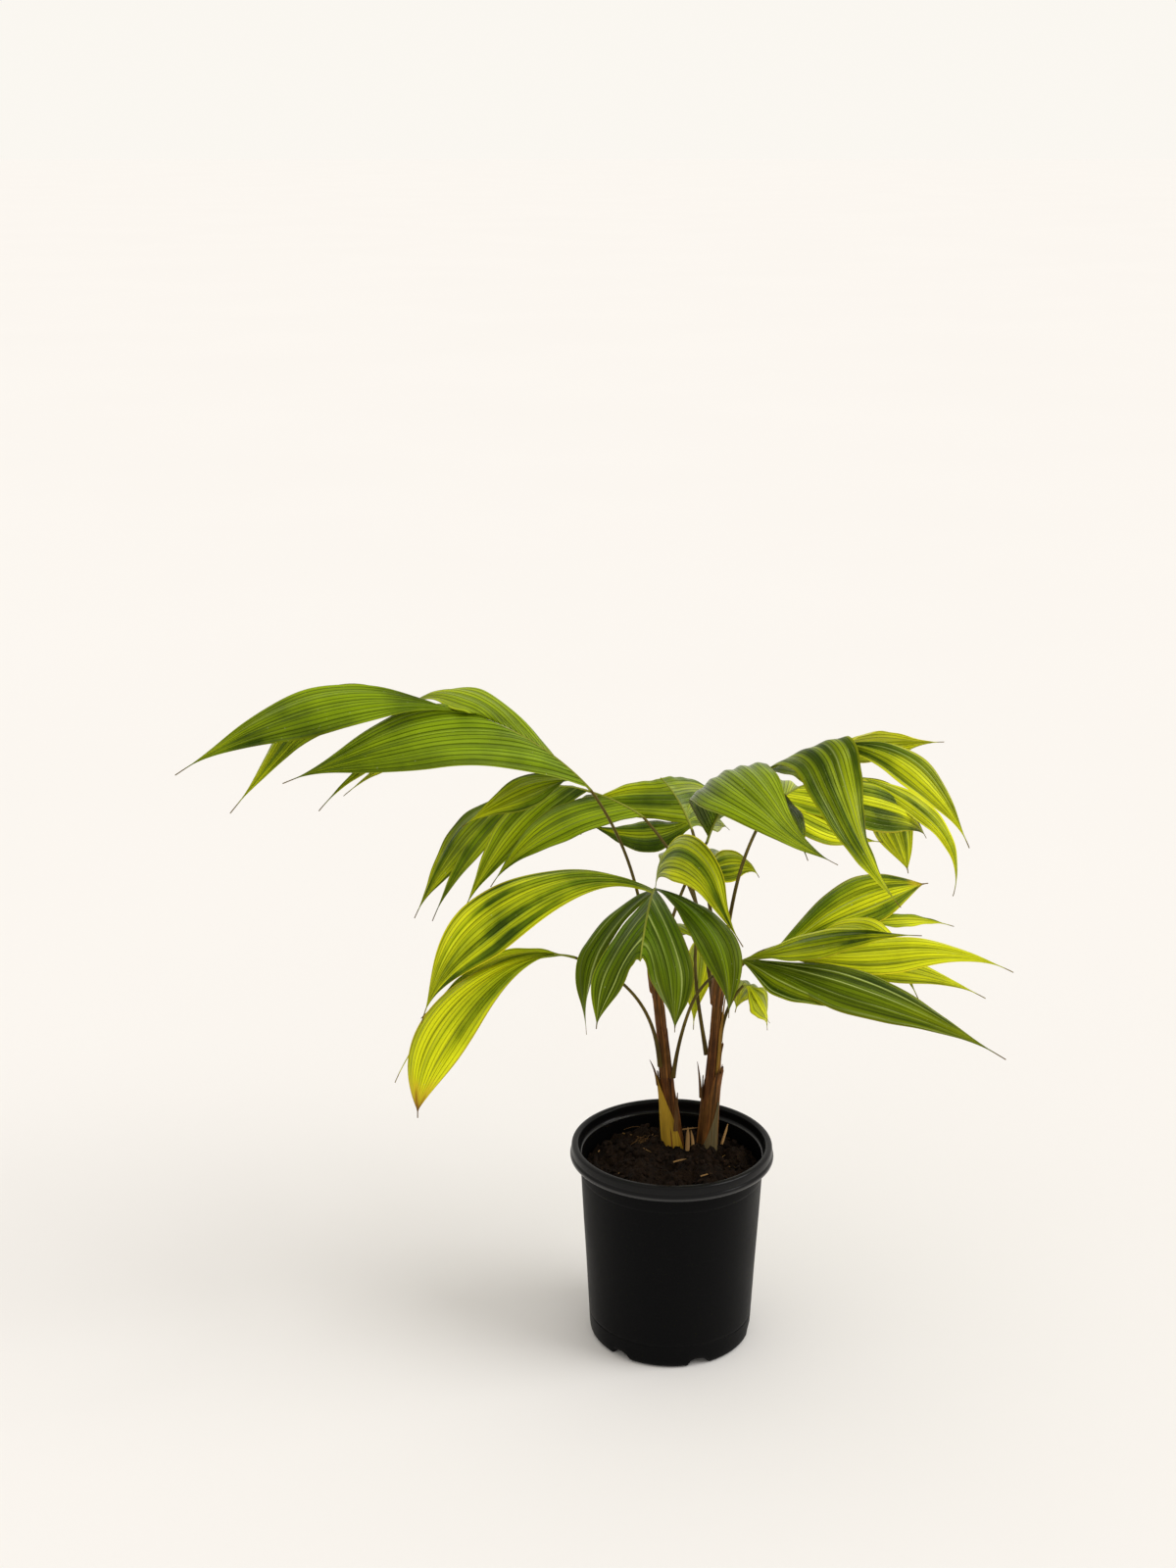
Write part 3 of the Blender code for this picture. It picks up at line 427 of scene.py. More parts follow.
def make_frond(name, frond, order, leaf_finish, rib_finish, stalk_finish):
    """A frond: a stalk that thins from its sheathed foot, and its rachis with every leaflet."""
    stalk, stalk_aim, stalk_level = walk(frond_start(frond), frond.heading, frond.pitch, frond.stalk, 24)
    rachis, rachis_aim, rachis_level = walk(stalk[-1], frond.turn, frond.bend, frond.rachis, 24)
    marks = {"along": (0, 1), "lime": (0.0, 0.2)}
    stem_radii = (0.0028, 0.0021, 0.0019, 0.0018, 0.0017, 0.0016)
    bar = bar_shell(stalk, stalk_level, stalk_aim, stem_radii, 12, marks, squeeze=0.85)
    make_piece(name + "_stalk_fine", [bar], [stalk_finish], "stalk", name + "_stalk")
    marks = {"along": (0, 1), "lime": (0.6, 0.8)}
    shells = [bar_shell(rachis, rachis_level, rachis_aim, RACHIS_RADII, 10, marks, finish=1)]
    for k, leaf in enumerate(frond.leaves):
        shells.append(leaf_shell(frond, leaf, rachis, k, order * 7 + k))
    make_piece(name + "_leaves", shells, [leaf_finish, rib_finish], "leaf", name + "_blade")


# Stems, sheaths and stubs


def make_stem(name, stem, seed, finish):
    """A leaning fibrous stem: rings up a straight axis at the solid's radius, plus fine upright
    ridges, a slow swell, and a ragged slanting step at the rim of each old sheath."""
    heights = np.linspace(SOIL_LEVEL - 0.006, stem.top[2], 260)
    turn = np.arange(96) * math.tau / 96
    centre, radius = stem_axis(stem, heights)
    H, T = np.meshgrid(heights, turn, indexing="ij")
    ridge = 0.00022 * lumps(T * 12 / math.tau * 4, H * 30, seed) + 0.00014 * lumps(T * 18, H * 90, seed + 1)
    swell = 0.0005 * lumps(np.cos(T) * 1.5 + 5, H * 25 + np.sin(T), seed + 2)
    rims = 0 * H
    for k, rim in enumerate(np.linspace(SOIL_LEVEL + 0.045, stem.top[2] - 0.03, 4)):
        slant = 0.008 * np.cos(T - 1.9 * k - seed) + 0.0025 * lumps(T * 5, 0 * T + k, seed + 3)
        rims = rims + 0.0004 * smooth_step((rim + slant - H) / 0.0012)
    R = radius[:, None] - 0.0015 + ridge + swell + rims
    rings = centre[:, None] + R[..., None] * np.stack([np.cos(T), np.sin(T), 0 * T], -1)
    share = (H - SOIL_LEVEL) / (stem.top[2] - SOIL_LEVEL)
    marks = {"along": share, "fold": rims / 0.002, "lime": smooth_step((share - 0.55) / 0.5) * 0.12}
    shell = ring_shell(rings, np.stack([H, T * 0.009], -1), marks)
    make_piece(name + "_bark", [shell], [finish], "stem", name)


# A sheath wraps a stem from low to high: side and half spread in degrees at foot and top, how far
# it stands off, how far its tip flares, its tint from brown 0 to yellow-green 1, how ragged its
# top is, and how grey-green it is
Sheath = namedtuple("Sheath", "stem low high side spread off flare tint ragged grey")
SHEATHS = (
    Sheath("stem_1", 0.176, 0.264, (268, 202), (64, 50, 4), 0.0012, 0.003, 0.95, 0.0, 0.0),
    Sheath("stem_1", 0.181, 0.262, (330, 290), (70, 44, 5), 0.0004, 0.003, 0.02, 0.0, 0.0),
    Sheath("stem_1", 0.190, 0.268, (120, 200), (80, 60, 8), 0.0004, 0.001, 0.15, 0.1, 0.0),
    Sheath("stem_1", 0.262, 0.318, (290, 262), (60, 40, 12), 0.0003, 0.001, 0.05, 0.3, 0.0),
    Sheath("stem_2", 0.181, 0.275, (330, 345), (120, 110, 60), 0.0003, 0.003, 0.05, 0.9, 0.0),
    Sheath("stem_2", 0.180, 0.236, (278, 322), (50, 24, 4), 0.0012, 0.000, 0.20, 0.0, 0.9),
    Sheath("stem_2", 0.250, 0.298, (0, 10), (70, 50, 14), 0.0002, 0.002, 0.10, 0.8, 0.0),
    Sheath("stem_2", 0.184, 0.262, (180, 170), (80, 60, 10), 0.0004, 0.001, 0.05, 0.2, 0.0),
    Sheath("stem_2", 0.262, 0.350, (322, 340), (34, 30, 8), 0.0002, 0.001, 0.30, 0.2, 0.0),
)


def sheath_shell(sheath, seed):
    """A leaf sheath: a sheet wrapped round the stem, narrowing from its foot to its tip, standing
    off a little more at its margins and flaring out at its tip, its top torn where it is ragged."""
    u, v = np.linspace(0, 1, 40), np.linspace(-1, 1, 25)
    U, V = np.meshgrid(u, v, indexing="ij")
    tear = sheath.ragged * (0.10 * np.abs(lumps(V * 7 + seed, 0 * V, 17)) + 0.05 * np.abs(lumps(V * 19, 0 * V, 18)))
    H = sheath.low + (sheath.high - sheath.low) * U * (1 - tear)
    centre, radius = stem_axis(STEMS[sheath.stem], H)
    angle = np.radians(at_stations(sheath.side, U) + V * at_stations(sheath.spread, U))
    ridge = 0.00025 * lumps(V * 14 + seed, U * 3, 23)
    R = radius + sheath.off * (0.4 + 0.6 * V**2) + sheath.flare * U**5 + ridge
    grid = centre + R[..., None] * np.stack([np.cos(angle), np.sin(angle), 0 * angle], -1)
    marks = {
        "along": U, "across": V, "lime": sheath.tint * (1 - 0.5 * smooth_step((U - 0.7) / 0.3)),
        "pale": sheath.grey + 0 * U,
    }
    uv = np.stack([H, angle * 0.009], -1)
    return thin_shell(grid[:, ::-1], 0.0006, uv[:, ::-1], {key: mark[:, ::-1] for key, mark in marks.items()})


def crown_shell(stem, seed):
    """The sheaths round the stalks' feet: a cone from the stem's top to above it, fluted round and
    fibrous, closed by its own rings drawn in at the top."""
    u, turn = np.linspace(0, 1, 60), np.arange(64) * math.tau / 64
    U, T = np.meshgrid(u, turn, indexing="ij")
    H = stem.top[2] - 0.030 + 0.062 * U
    centre, _ = stem_axis(stem, H)
    lean = np.clip(H - stem.top[2], 0, 1)[..., None]
    centre = centre - lean * (np.array(stem.top) - np.array([*stem.foot, SOIL_LEVEL])) * (1, 1, 0) * 2
    R = at_stations((0.0066, 0.0070, 0.0072, 0.0068, 0.0062, 0.0052), U)
    R = R + 0.00045 * np.cos(5 * T + seed) * smooth_step(U * 2) + 0.00025 * lumps(T * 9, H * 60, seed)
    R = R + 0.0008 * smooth_step((0.55 + 0.18 * np.cos(T + seed) - U) / 0.03)
    R = R - 0.0018 * smooth_step((0.20 + 0.12 * np.cos(T - seed) + 0.06 * lumps(T * 4, 0 * T, 29) - U) / 0.05)
    rings = centre + R[..., None] * np.stack([np.cos(T), np.sin(T), 0 * T], -1)
    marks = {"along": 0.8 + 0.2 * U, "lime": 0.04 + 0.3 * U**2}
    return ring_shell(rings, np.stack([H, T * 0.009], -1), marks)


def make_stubs(finish):
    """Dead stubs and young shoots: tapering bars with slightly flattened tips."""
    for k, (name, stub) in enumerate(STUBS.items()):
        start = beside_stem(STEMS[stub.stem], stub.height, stub.side, STUB_RADII[0])
        path, aim, level = walk(start, (stub.side, stub.side), stub.lean, stub.length, 16)
        marks = {"along": (0, 1), "lime": (0.1, 0.0)}
        bar = bar_shell(path, level, aim, (0.0024, 0.0022, 0.0017, 0.0012, 0.0004), 10, marks, squeeze=0.6)
        make_piece(name + "_fibre", [bar], [finish], "dead_stub", name)


# Pot


def make_pot(finish):
    """The pot: a profile of corners, each cut twice to round it, spun round the axis. Arches lift
    the foot's edge: near each notch the wall's lower part is pressed up by the arch's height."""
    corners = np.array([
        (0.0030, 0.0000), (0.0500, 0.0000), (0.0735, 0.0000), (0.0775, 0.0003), (0.0803, 0.0030),
        (0.0814, 0.0070), (0.0822, 0.0230), (0.0822, 0.0236), (0.0817, 0.0240), (0.0823, 0.0246),
        (0.0850, 0.0800), (0.0880, 0.1300), (0.0903, 0.1750), (0.0903, 0.1758), (0.0910, 0.1764),
        (0.0914, 0.1900), (0.0930, 0.1922), (0.0985, 0.1926), (0.1008, 0.1934), (0.1014, 0.1952),
        (0.1008, 0.1974), (0.0998, 0.1990), (0.0996, 0.1998), (0.1000, 0.2010), (0.0998, 0.2052),
        (0.0990, 0.2072), (0.0972, 0.2080), (0.0950, 0.2080), (0.0932, 0.2070), (0.0924, 0.2050),
        (0.0920, 0.1990), (0.0905, 0.1965), (0.0896, 0.1962), (0.0893, 0.1955), (0.0890, 0.1800),
        (0.0850, 0.1000), (0.0795, 0.0120), (0.0760, 0.0060), (0.0700, 0.0042), (0.0030, 0.0040),
    ])
    for _ in range(2):
        near = corners[:-1] * 0.75 + corners[1:] * 0.25
        far = corners[:-1] * 0.25 + corners[1:] * 0.75
        corners = np.concatenate([corners[:1], np.stack([near, far], 1).reshape(-1, 2), corners[-1:]])
    turn = np.arange(POT_SIDES) * math.tau / POT_SIDES
    R, T = np.meshgrid(corners[:, 0], turn, indexing="ij")
    Z = corners[:, 1][:, None] + 0 * T
    every = math.tau / NOTCH_COUNT
    off = np.abs((T - math.radians(NOTCH_TURN) + every / 2) % every - every / 2) * BODY_FOOT_RADIUS
    arch = NOTCH_HEIGHT * np.sqrt(np.clip(1 - (off / (NOTCH_WIDTH / 2)) ** 2, 0, 1)) ** 0.8
    arch = arch * smooth_step((R - 0.066) / 0.006) * np.clip(1 - Z / 0.020, 0, 1)
    outside = (np.arange(len(corners)) < len(corners) * 0.55)[:, None]
    Z = Z + arch * outside
    rings = np.stack([R * np.cos(T), R * np.sin(T), Z], -1)
    shell = ring_shell(rings, np.stack([T * 0.09, Z], -1), {"along": Z / POT_HEIGHT})
    make_piece("pot_wall", [shell], [finish], "pot_plastic", "pot")


# Soil


# Heaps in front of the stems: middle x and y, and height
SOIL_HEAPS = ((-0.030, -0.030, 0.0100), (0.026, -0.034, 0.0085), (-0.050, 0.030, 0.0040))


def soil_height(x, y):
    """The soil's height: a low mound that falls to the wall, with heaps, clods and fine crumbs."""
    r = np.hypot(x, y)
    mound = SOIL_LEVEL - 0.0015 + 0.003 * smooth_step((0.080 - r) / 0.06)
    clods = 0.0068 * lumps(x * 60 + 9, y * 60 + 4, 31) * smooth_step((0.088 - r) / 0.02)
    clods = clods + 0.0056 * np.abs(lumps(x * 120, y * 120, 32)) + 0.0018 * lumps(x * 300, y * 300, 33)
    heaps = 0.0
    for heap_x, heap_y, height in SOIL_HEAPS:
        heaps = heaps + height * smooth_step(1 - np.hypot(x - heap_x, y - heap_y) / 0.030)
    return mound + clods + heaps - 0.0055 * smooth_step((r - 0.066) / 0.022)


def pebble():
    """Corners and triangles of a small lump: two poles and three rings of six."""
    ring_angle = np.radians((50, 90, 130))[:, None]
    turn = np.arange(6)[None] * math.tau / 6 + np.array([0, 0.5, 0])[:, None]
    rings = np.stack([
        np.sin(ring_angle) * np.cos(turn), np.sin(ring_angle) * np.sin(turn), np.cos(ring_angle) + 0 * turn
    ], -1).reshape(-1, 3)
    points = np.concatenate([[[0, 0, 1.0]], rings, [[0, 0, -1.0]]])
    k = np.arange(6)
    after = (k + 1) % 6
    top = np.stack([0 * k, 1 + k, 1 + after, 1 + after], -1)
    sides = [np.stack([1 + k + 6 * j, 7 + k + 6 * j, 7 + after + 6 * j, 1 + after + 6 * j], -1) for j in (0, 1)]
    bottom = np.stack([13 + k, 0 * k + 19, 13 + after, 13 + after], -1)
    return points, top[:, :3], np.concatenate(sides), bottom[:, :3]


def scattered(count, seed, reach, low, high):
    """Lumps strewn over the soil: even by area, each stretched, turned and sized by chance."""
    chance = np.random.default_rng(seed)
    points, top, sides, bottom = pebble()
    r, turn = reach * np.sqrt(chance.uniform(0, 1, count)), chance.uniform(0, math.tau, count)
    x, y = r * np.cos(turn), r * np.sin(turn)
    size = low * (high / low) ** (chance.uniform(0, 1, count) ** 2.2)
    stretch = chance.uniform(0.55, 1.25, (count, 1, 3)) * chance.uniform(0.8, 1.2, (count, 20, 3))
    a = chance.normal(size=(count, 3, 3))
    turned, _ = np.linalg.qr(a)
    turned *= np.sign(np.linalg.det(turned))[:, None, None]
    made = np.einsum("nij,npj->npi", turned, points * stretch * size[:, None, None])
    made += np.stack([x, y, soil_height(x, y) + size * 0.35], -1)[:, None]
    start = np.arange(count)[:, None, None] * 20
    quads = (sides[None] + start).reshape(-1, 4)
    caps = (np.concatenate([top, bottom])[None] + start).reshape(-1, 3).tolist()
    tone = np.repeat(chance.uniform(0, 1, count), 20)
    return Shell(made.reshape(-1, 3), quads, caps, made.reshape(-1, 3)[:, :2] * 4, {"lime": tone}, 0)


# A straw lies on the soil or leans in it: middle x and y, turn in degrees, length, radius, lean
STRAWS = (
    (-0.038, 0.062, -36, 0.024, 0.0008, 6), (-0.028, 0.022, -49, 0.023, 0.0007, 4),
    (0.008, -0.004, 20, 0.014, 0.0010, 6), (0.052, 0.034, 60, 0.022, 0.0015, 52),
    (0.056, 0.020, 44, 0.019, 0.0005, 10), (0.020, 0.070, 12, 0.020, 0.0009, 4),
    (0.032, -0.046, 19, 0.012, 0.0008, 8), (-0.070, 0.030, 62, 0.013, 0.0006, 5),
    (0.0165, 0.016, 80, 0.024, 0.0022, 84), (0.0225, 0.024, 110, 0.018, 0.0018, 74),
    (0.062, -0.014, -30, 0.014, 0.0006, 6), (-0.048, -0.030, 25, 0.012, 0.0006, 8),
    (0.010, -0.058, -15, 0.010, 0.0006, 5), (-0.016, 0.064, 70, 0.016, 0.0006, 8),
)


def straw_shells():
    """Straws, root ends and two short shoots: bent tapering bars on or in the soil."""
    shells = []
    for k, (x, y, turn, length, radius, lean) in enumerate(STRAWS):
        half = length / 2 * math.cos(math.radians(lean))
        h = math.radians(turn)
        start = np.array([x - half * math.cos(h), y - half * math.sin(h), 0])
        if lean > 40:
            start = np.array([x, y, 0])
        start[2] = soil_height(start[0], start[1]) + radius * 0.6
        path, aim, level = walk(start, (turn - 6, turn + 8), (lean + 6, lean - 10), length, 10)
        marks = {"along": (0, 1), "lime": (0.35 + 0.13 * (k % 5), 0.35 + 0.13 * (k % 4))}
        taper = (radius, radius, radius * 0.85, radius * 0.25)
        shells.append(bar_shell(path, level, aim, taper, 8, marks, squeeze=0.9))
    return shells


def root_shells():
    """A tuft of old roots behind the left stem: thin arches that spring from one spot."""
    chance = np.random.default_rng(8)
    shells = []
    for k in range(34):
        turn = chance.uniform(120, 300)
        start = np.array([-0.018 + chance.normal(0, 0.004), 0.052 + chance.normal(0, 0.006), 0])
        start[2] = soil_height(start[0], start[1]) - 0.001
        lean = chance.uniform(20, 75)
        path, aim, level = walk(start, (turn, turn + chance.uniform(-60, 60)), (lean, 0, -lean * 0.8), chance.uniform(0.010, 0.026), 10)
        marks = {"along": (0, 1), "lime": (0.1, 0.25)}
        shells.append(bar_shell(path, level, aim, (0.00030, 0.00022), 5, marks))
    return shells


def make_soil(soil_finish, straw_finish):
    """The soil: a disc of rings whose height is worked out at each point, with a wall down into
    the pot; lumps strewn on it; straws and roots."""
    r = np.concatenate([np.linspace(0.0008, 0.0870, 110), [0.0873, 0.0860]])
    turn = np.arange(260) * math.tau / 260
    R, T = np.meshgrid(r, turn, indexing="ij")
    X, Y = R * np.cos(T), R * np.sin(T)
    Z = soil_height(X, Y)
    Z[-2] -= 0.004
    Z[-1] = 0.160
    rings = np.stack([X, Y, Z], -1)[::-1]
    shell = ring_shell(rings, rings[..., :2] * 4, {"lime": 0.25 + 0 * Z[::-1]})
    make_piece("soil_bed", [shell], [soil_finish], "soil", "soil")
    strewn = [scattered(900, 3, 0.083, 0.0006, 0.0040), scattered(2600, 4, 0.084, 0.0003, 0.0012)]
    make_piece("soil_crumbs", strewn, [soil_finish], "soil")
    make_piece("straws", straw_shells() + root_shells(), [straw_finish], "dead_stub")


# Finishes


def add(tree, kind, wires=None, **settings):
    """A shader node with its settings, each named input wired to a socket or set to a value."""
    made = tree.nodes.new("ShaderNode" + kind)
    for key, value in settings.items():
        setattr(made, key, value)
    for title, source in (wires or {}).items():
        if isinstance(source, bpy.types.NodeSocket):
            tree.links.new(source, made.inputs[title])
        else:
            made.inputs[title].default_value = source
    return made


def effect(name, inputs, output):
    """An empty node group with the named inputs and one output."""
    tree = bpy.data.node_groups.new(name, "ShaderNodeTree")
    for title, kind, value in inputs:
        socket = tree.interface.new_socket(title, in_out="INPUT", socket_type="NodeSocket" + kind)
        if value is not None:
            socket.default_value = value
    tree.interface.new_socket(output[0], in_out="OUTPUT", socket_type="NodeSocket" + output[1])
    return tree, tree.nodes.new("NodeGroupInput").outputs, tree.nodes.new("NodeGroupOutput").inputs


def streaks_effect():
    """Long streaks: noise on a place stretched differently along and across, remapped to a mask."""
    tree, given, out = effect("streaks", [
        ("Vector", "Vector", None), ("Along", "Float", 10.0), ("Across", "Float", 300.0),
        ("Low", "Float", 0.3), ("High", "Float", 0.7),
    ], ("Mask", "Float"))
    scale = add(tree, "CombineXYZ", {"X": given["Along"], "Y": given["Across"], "Z": given["Across"]})
    place = add(tree, "VectorMath", {0: given["Vector"], 1: scale.outputs[0]}, operation="MULTIPLY")
    noise = add(tree, "TexNoise", {"Vector": place.outputs[0], "Scale": 1.0, "Detail": 3.0})
    mask = add(tree, "MapRange", {"Value": noise.outputs["Fac"], "From Min": given["Low"], "From Max": given["High"]})
    tree.links.new(mask.outputs[0], out[0])
    return tree


def patches_effect():
    """Soft patches: noise at a scale, remapped from low to high to a mask."""
    tree, given, out = effect("patches", [
        ("Vector", "Vector", None), ("Scale", "Float", 20.0), ("Low", "Float", 0.35), ("High", "Float", 0.65),
    ], ("Mask", "Float"))
    noise = add(tree, "TexNoise", {"Vector": given["Vector"], "Scale": given["Scale"], "Detail": 5.0})
    mask = add(tree, "MapRange", {"Value": noise.outputs["Fac"], "From Min": given["Low"], "From Max": given["High"]})
    tree.links.new(mask.outputs[0], out[0])
    return tree


def ribs_effect():
    """Ribs along a leaf: a cosine of the place across over their spacing, its place shifted by
    noise times the wander, lifted to 0 to 1 and raised to the sharpness."""
    tree, given, out = effect("ribs", [
        ("Vector", "Vector", None), ("Spacing", "Float", 0.0035), ("Wander", "Float", 0.0004),
        ("Sharpness", "Float", 2.0),
    ], ("Mask", "Float"))
    wide = add(tree, "VectorMath", {0: given["Vector"], 1: (9.0, 60.0, 0.0)}, operation="MULTIPLY")
    noise = add(tree, "TexNoise", {"Vector": wide.outputs[0], "Scale": 1.0, "Detail": 2.0})
    shift = add(tree, "Math", {0: noise.outputs["Fac"], 1: given["Wander"]}, operation="MULTIPLY")
    across = add(tree, "SeparateXYZ", {0: given["Vector"]}).outputs["Y"]
    place = add(tree, "Math", {0: across, 1: shift.outputs[0]}, operation="ADD")
    turns = add(tree, "Math", {0: place.outputs[0], 1: given["Spacing"]}, operation="DIVIDE")
    wave = add(tree, "Math", {0: add(tree, "Math", {0: turns.outputs[0], 1: math.tau}, operation="MULTIPLY").outputs[0]}, operation="COSINE")
    lifted = add(tree, "Math", {0: wave.outputs[0], 1: 0.5, 2: 0.5}, operation="MULTIPLY_ADD")
    peak = add(tree, "Math", {0: lifted.outputs[0], 1: given["Sharpness"]}, operation="POWER")
    tree.links.new(peak.outputs[0], out[0])
    return tree


def relief_effect():
    """A bump from a height."""
    tree, given, out = effect("relief", [
        ("Height", "Float", 0.0), ("Strength", "Float", 0.5), ("Distance", "Float", 0.001),
    ], ("Normal", "Vector"))
    bump = add(tree, "Bump", {name: given[name] for name in ("Height", "Strength", "Distance")})
    tree.links.new(bump.outputs[0], out[0])
    return tree


class Finish:
    """A Principled material under construction, with short ways to mix its masks and colours."""

    def __init__(self, name, roughness, gloss=0.5, tint=(1.0, 1.0, 1.0)):
        self.material = bpy.data.materials.new(name)
        self.material.use_nodes = True
        self.tree = self.material.node_tree
        self.shader = self.tree.nodes["Principled BSDF"]
        self.shader.inputs["Roughness"].default_value = roughness
        self.shader.inputs["Specular IOR Level"].default_value = gloss
        self.shader.inputs["Specular Tint"].default_value = (*tint, 1)
        place = add(self.tree, "TexCoord")
        self.place, self.surface = place.outputs["Object"], place.outputs["UV"]

    def mark(self, name):
        return add(self.tree, "Attribute", attribute_name=name).outputs["Fac"]

    def mask(self, effect_tree, **values):
        group = self.tree.nodes.new("ShaderNodeGroup")
        group.node_tree = effect_tree
        for title, value in values.items():
            if isinstance(value, bpy.types.NodeSocket):
                self.tree.links.new(value, group.inputs[title])
            else:
                group.inputs[title].default_value = value
        return group.outputs[0]

    def sum(self, a, operation, b, clamp=False):
        return add(self.tree, "Math", {0: a, 1: b}, operation=operation, use_clamp=clamp).outputs[0]

    def ramp(self, value, low, high, to_low=0.0, to_high=1.0):
        wires = {"Value": value, "From Min": low, "From Max": high, "To Min": to_low, "To Max": to_high}
        return add(self.tree, "MapRange", wires, interpolation_type="SMOOTHSTEP").outputs[0]

    def mix(self, share, a, b):
        wires = {0: share, 6: a if isinstance(a, bpy.types.NodeSocket) else (*a, 1), 7: (*b, 1)}
        return add(self.tree, "Mix", wires, data_type="RGBA").outputs[2]

    def done(self, colour, roughness=None, normal=None):
        for title, source in (("Base Color", colour), ("Roughness", roughness), ("Normal", normal)):
            if source is not None:
                self.tree.links.new(source, self.shader.inputs[title])
        return self.material


def leaf_finish(streaks, patches, ribs, relief):
    """Leaf: dark to light green in lengthwise bands and soft patches, lime where marked (its
    yellow-green colour, and painted glow of light shining through it), fine grooves between its
    ribs darkened with painted shade, painted shade in the valleys of its pleats, broad pale ribs
    where marked, yellow margins, white flecks, burnt tips that go through yellow to rust, and a tan
    thread at the end."""
    made = Finish("leaf", 0.34, LEAF_GLOSS, LEAF_GLOSS_TINT)
    wide = made.mask(streaks, Vector=made.surface, Along=4.0, Across=80.0, Low=0.39, High=0.61)
    fine = made.mask(streaks, Vector=made.surface, Along=10.0, Across=1100.0)
    soft = made.mask(patches, Vector=made.place, Scale=13.0, Low=0.36, High=0.62)
    groove_and_shade = made.mask(ribs, Vector=made.surface, Spacing=0.0040, Wander=0.0012, Sharpness=9.0)
    vein = made.mask(ribs, Vector=made.surface, Spacing=0.0117, Wander=0.004, Sharpness=34.0)
    lime, pale = made.mark("lime"), made.mark("pale")
    colour = made.mix(made.ramp(wide, 0.0, 1.0, 0.12, 1.0), LEAF_DARK, LEAF_MID)
    colour = made.mix(made.sum(soft, "MULTIPLY", made.ramp(pale, 0.3, 0.9, 0.66, 0.14)), colour, LEAF_LIGHT)
    wave = made.sum(made.sum(wide, "SUBTRACT", 0.5), "MULTIPLY", 0.95)
    wave = made.sum(wave, "ADD", made.sum(made.sum(soft, "SUBTRACT", 0.5), "MULTIPLY", 0.45))
    # Lime: the leaf's yellow-green colour and painted glow of light shining through it.
    lime_and_glow = made.sum(lime, "ADD", made.sum(wave, "MULTIPLY", made.ramp(lime, 0.0, 0.4)), clamp=True)
    colour = made.mix(lime_and_glow, colour, LEAF_LIME_GLOW)
    # Painted shade in the fine grooves: they are darkened towards dark green, and the same mask sinks them in the bump.
    colour = made.mix(made.sum(groove_and_shade, "MULTIPLY", made.ramp(lime, 0.0, 0.8, 0.66, 0.42)), colour, LEAF_DARK)
    colour = made.mix(made.sum(fine, "MULTIPLY", 0.25), colour, LEAF_DARK)
    shown = made.mask(streaks, Vector=made.surface, Along=6.0, Across=170.0, Low=0.44, High=0.60)
    crest = made.sum(made.sum(vein, "MULTIPLY", shown), "MULTIPLY", pale)
    colour = made.mix(crest, colour, LEAF_CREST)
    # Painted shade: the valleys of the pleats, where the fold mark is low, are darkened.
    painted_fold_shade = made.ramp(made.mark("fold"), -0.5, -1.0)
    colour = made.mix(made.sum(painted_fold_shade, "MULTIPLY", 0.38), colour, LEAF_DARK)
    edge = made.ramp(made.sum(made.mark("across"), "ABSOLUTE", 0), 0.92, 0.98)
    share = made.sum(made.ramp(lime, 0.05, 0.6, 0.05, 0.6), "ADD", made.sum(pale, "MULTIPLY", 0.12), clamp=True)
    colour = made.mix(made.sum(edge, "MULTIPLY", share), colour, LEAF_YELLOW)
    burn = made.mark("burn")
    colour = made.mix(made.ramp(burn, 0.03, 0.45), colour, LEAF_YELLOW)
    colour = made.mix(made.ramp(burn, 0.40, 0.9), colour, LEAF_BURNT)
    colour = made.mix(made.ramp(made.mark("along"), 0.93, 0.97, 0.0, 0.85), colour, LEAF_THREAD)
    fleck = made.mask(patches, Vector=made.place, Scale=420.0, Low=0.70, High=0.74)
    colour = made.mix(made.sum(fleck, "MULTIPLY", 0.35), colour, LEAF_FLECK)
    rough = made.sum(made.ramp(soft, 0.0, 1.0, 0.24, 0.36), "ADD", made.sum(fine, "MULTIPLY", 0.08))
    height = made.sum(made.sum(fine, "MULTIPLY", 0.4), "SUBTRACT", groove_and_shade)
    height = made.sum(height, "ADD", made.sum(made.sum(vein, "MULTIPLY", pale), "MULTIPLY", 0.8))
    return made.done(colour, rough, made.mask(relief, Height=height, Strength=0.9, Distance=0.0006))


def bark_finish(name, dark, light, fresh, roughness, streaks, patches, relief):
    """Stem, sheath, stalk or straw: streaks along it between a dark and a light tone, mottled in
    patches, and turning to its fresh tone or to grey-green where marked."""
    made = Finish(name, roughness, 0.15)
    fibre = made.mask(streaks, Vector=made.surface, Along=28.0, Across=1500.0)
    broad = made.mask(streaks, Vector=made.surface, Along=18.0, Across=420.0, Low=0.36, High=0.62)
    soft = made.mask(patches, Vector=made.place, Scale=55.0)
    colour = made.mix(broad, dark, light)
    colour = made.mix(made.sum(soft, "MULTIPLY", 0.5), colour, dark)
    share = made.sum(made.mark("lime"), "MULTIPLY", made.ramp(broad, 0.0, 0.6, 0.85, 1.1), clamp=True)
    colour = made.mix(share, colour, fresh)
    colour = made.mix(made.sum(made.mark("pale"), "MULTIPLY", made.ramp(fibre, 0.0, 1.0, 1.0, 0.5)), colour, BARK_GREY)
    colour = made.mix(made.sum(fibre, "MULTIPLY", 0.4), colour, dark)
    height = made.sum(fibre, "ADD", made.sum(broad, "MULTIPLY", 2.0))
    rough = made.ramp(soft, 0.0, 1.0, roughness - 0.08, roughness + 0.1)
    return made.done(colour, rough, made.mask(relief, Height=height, Strength=0.6, Distance=0.0005))


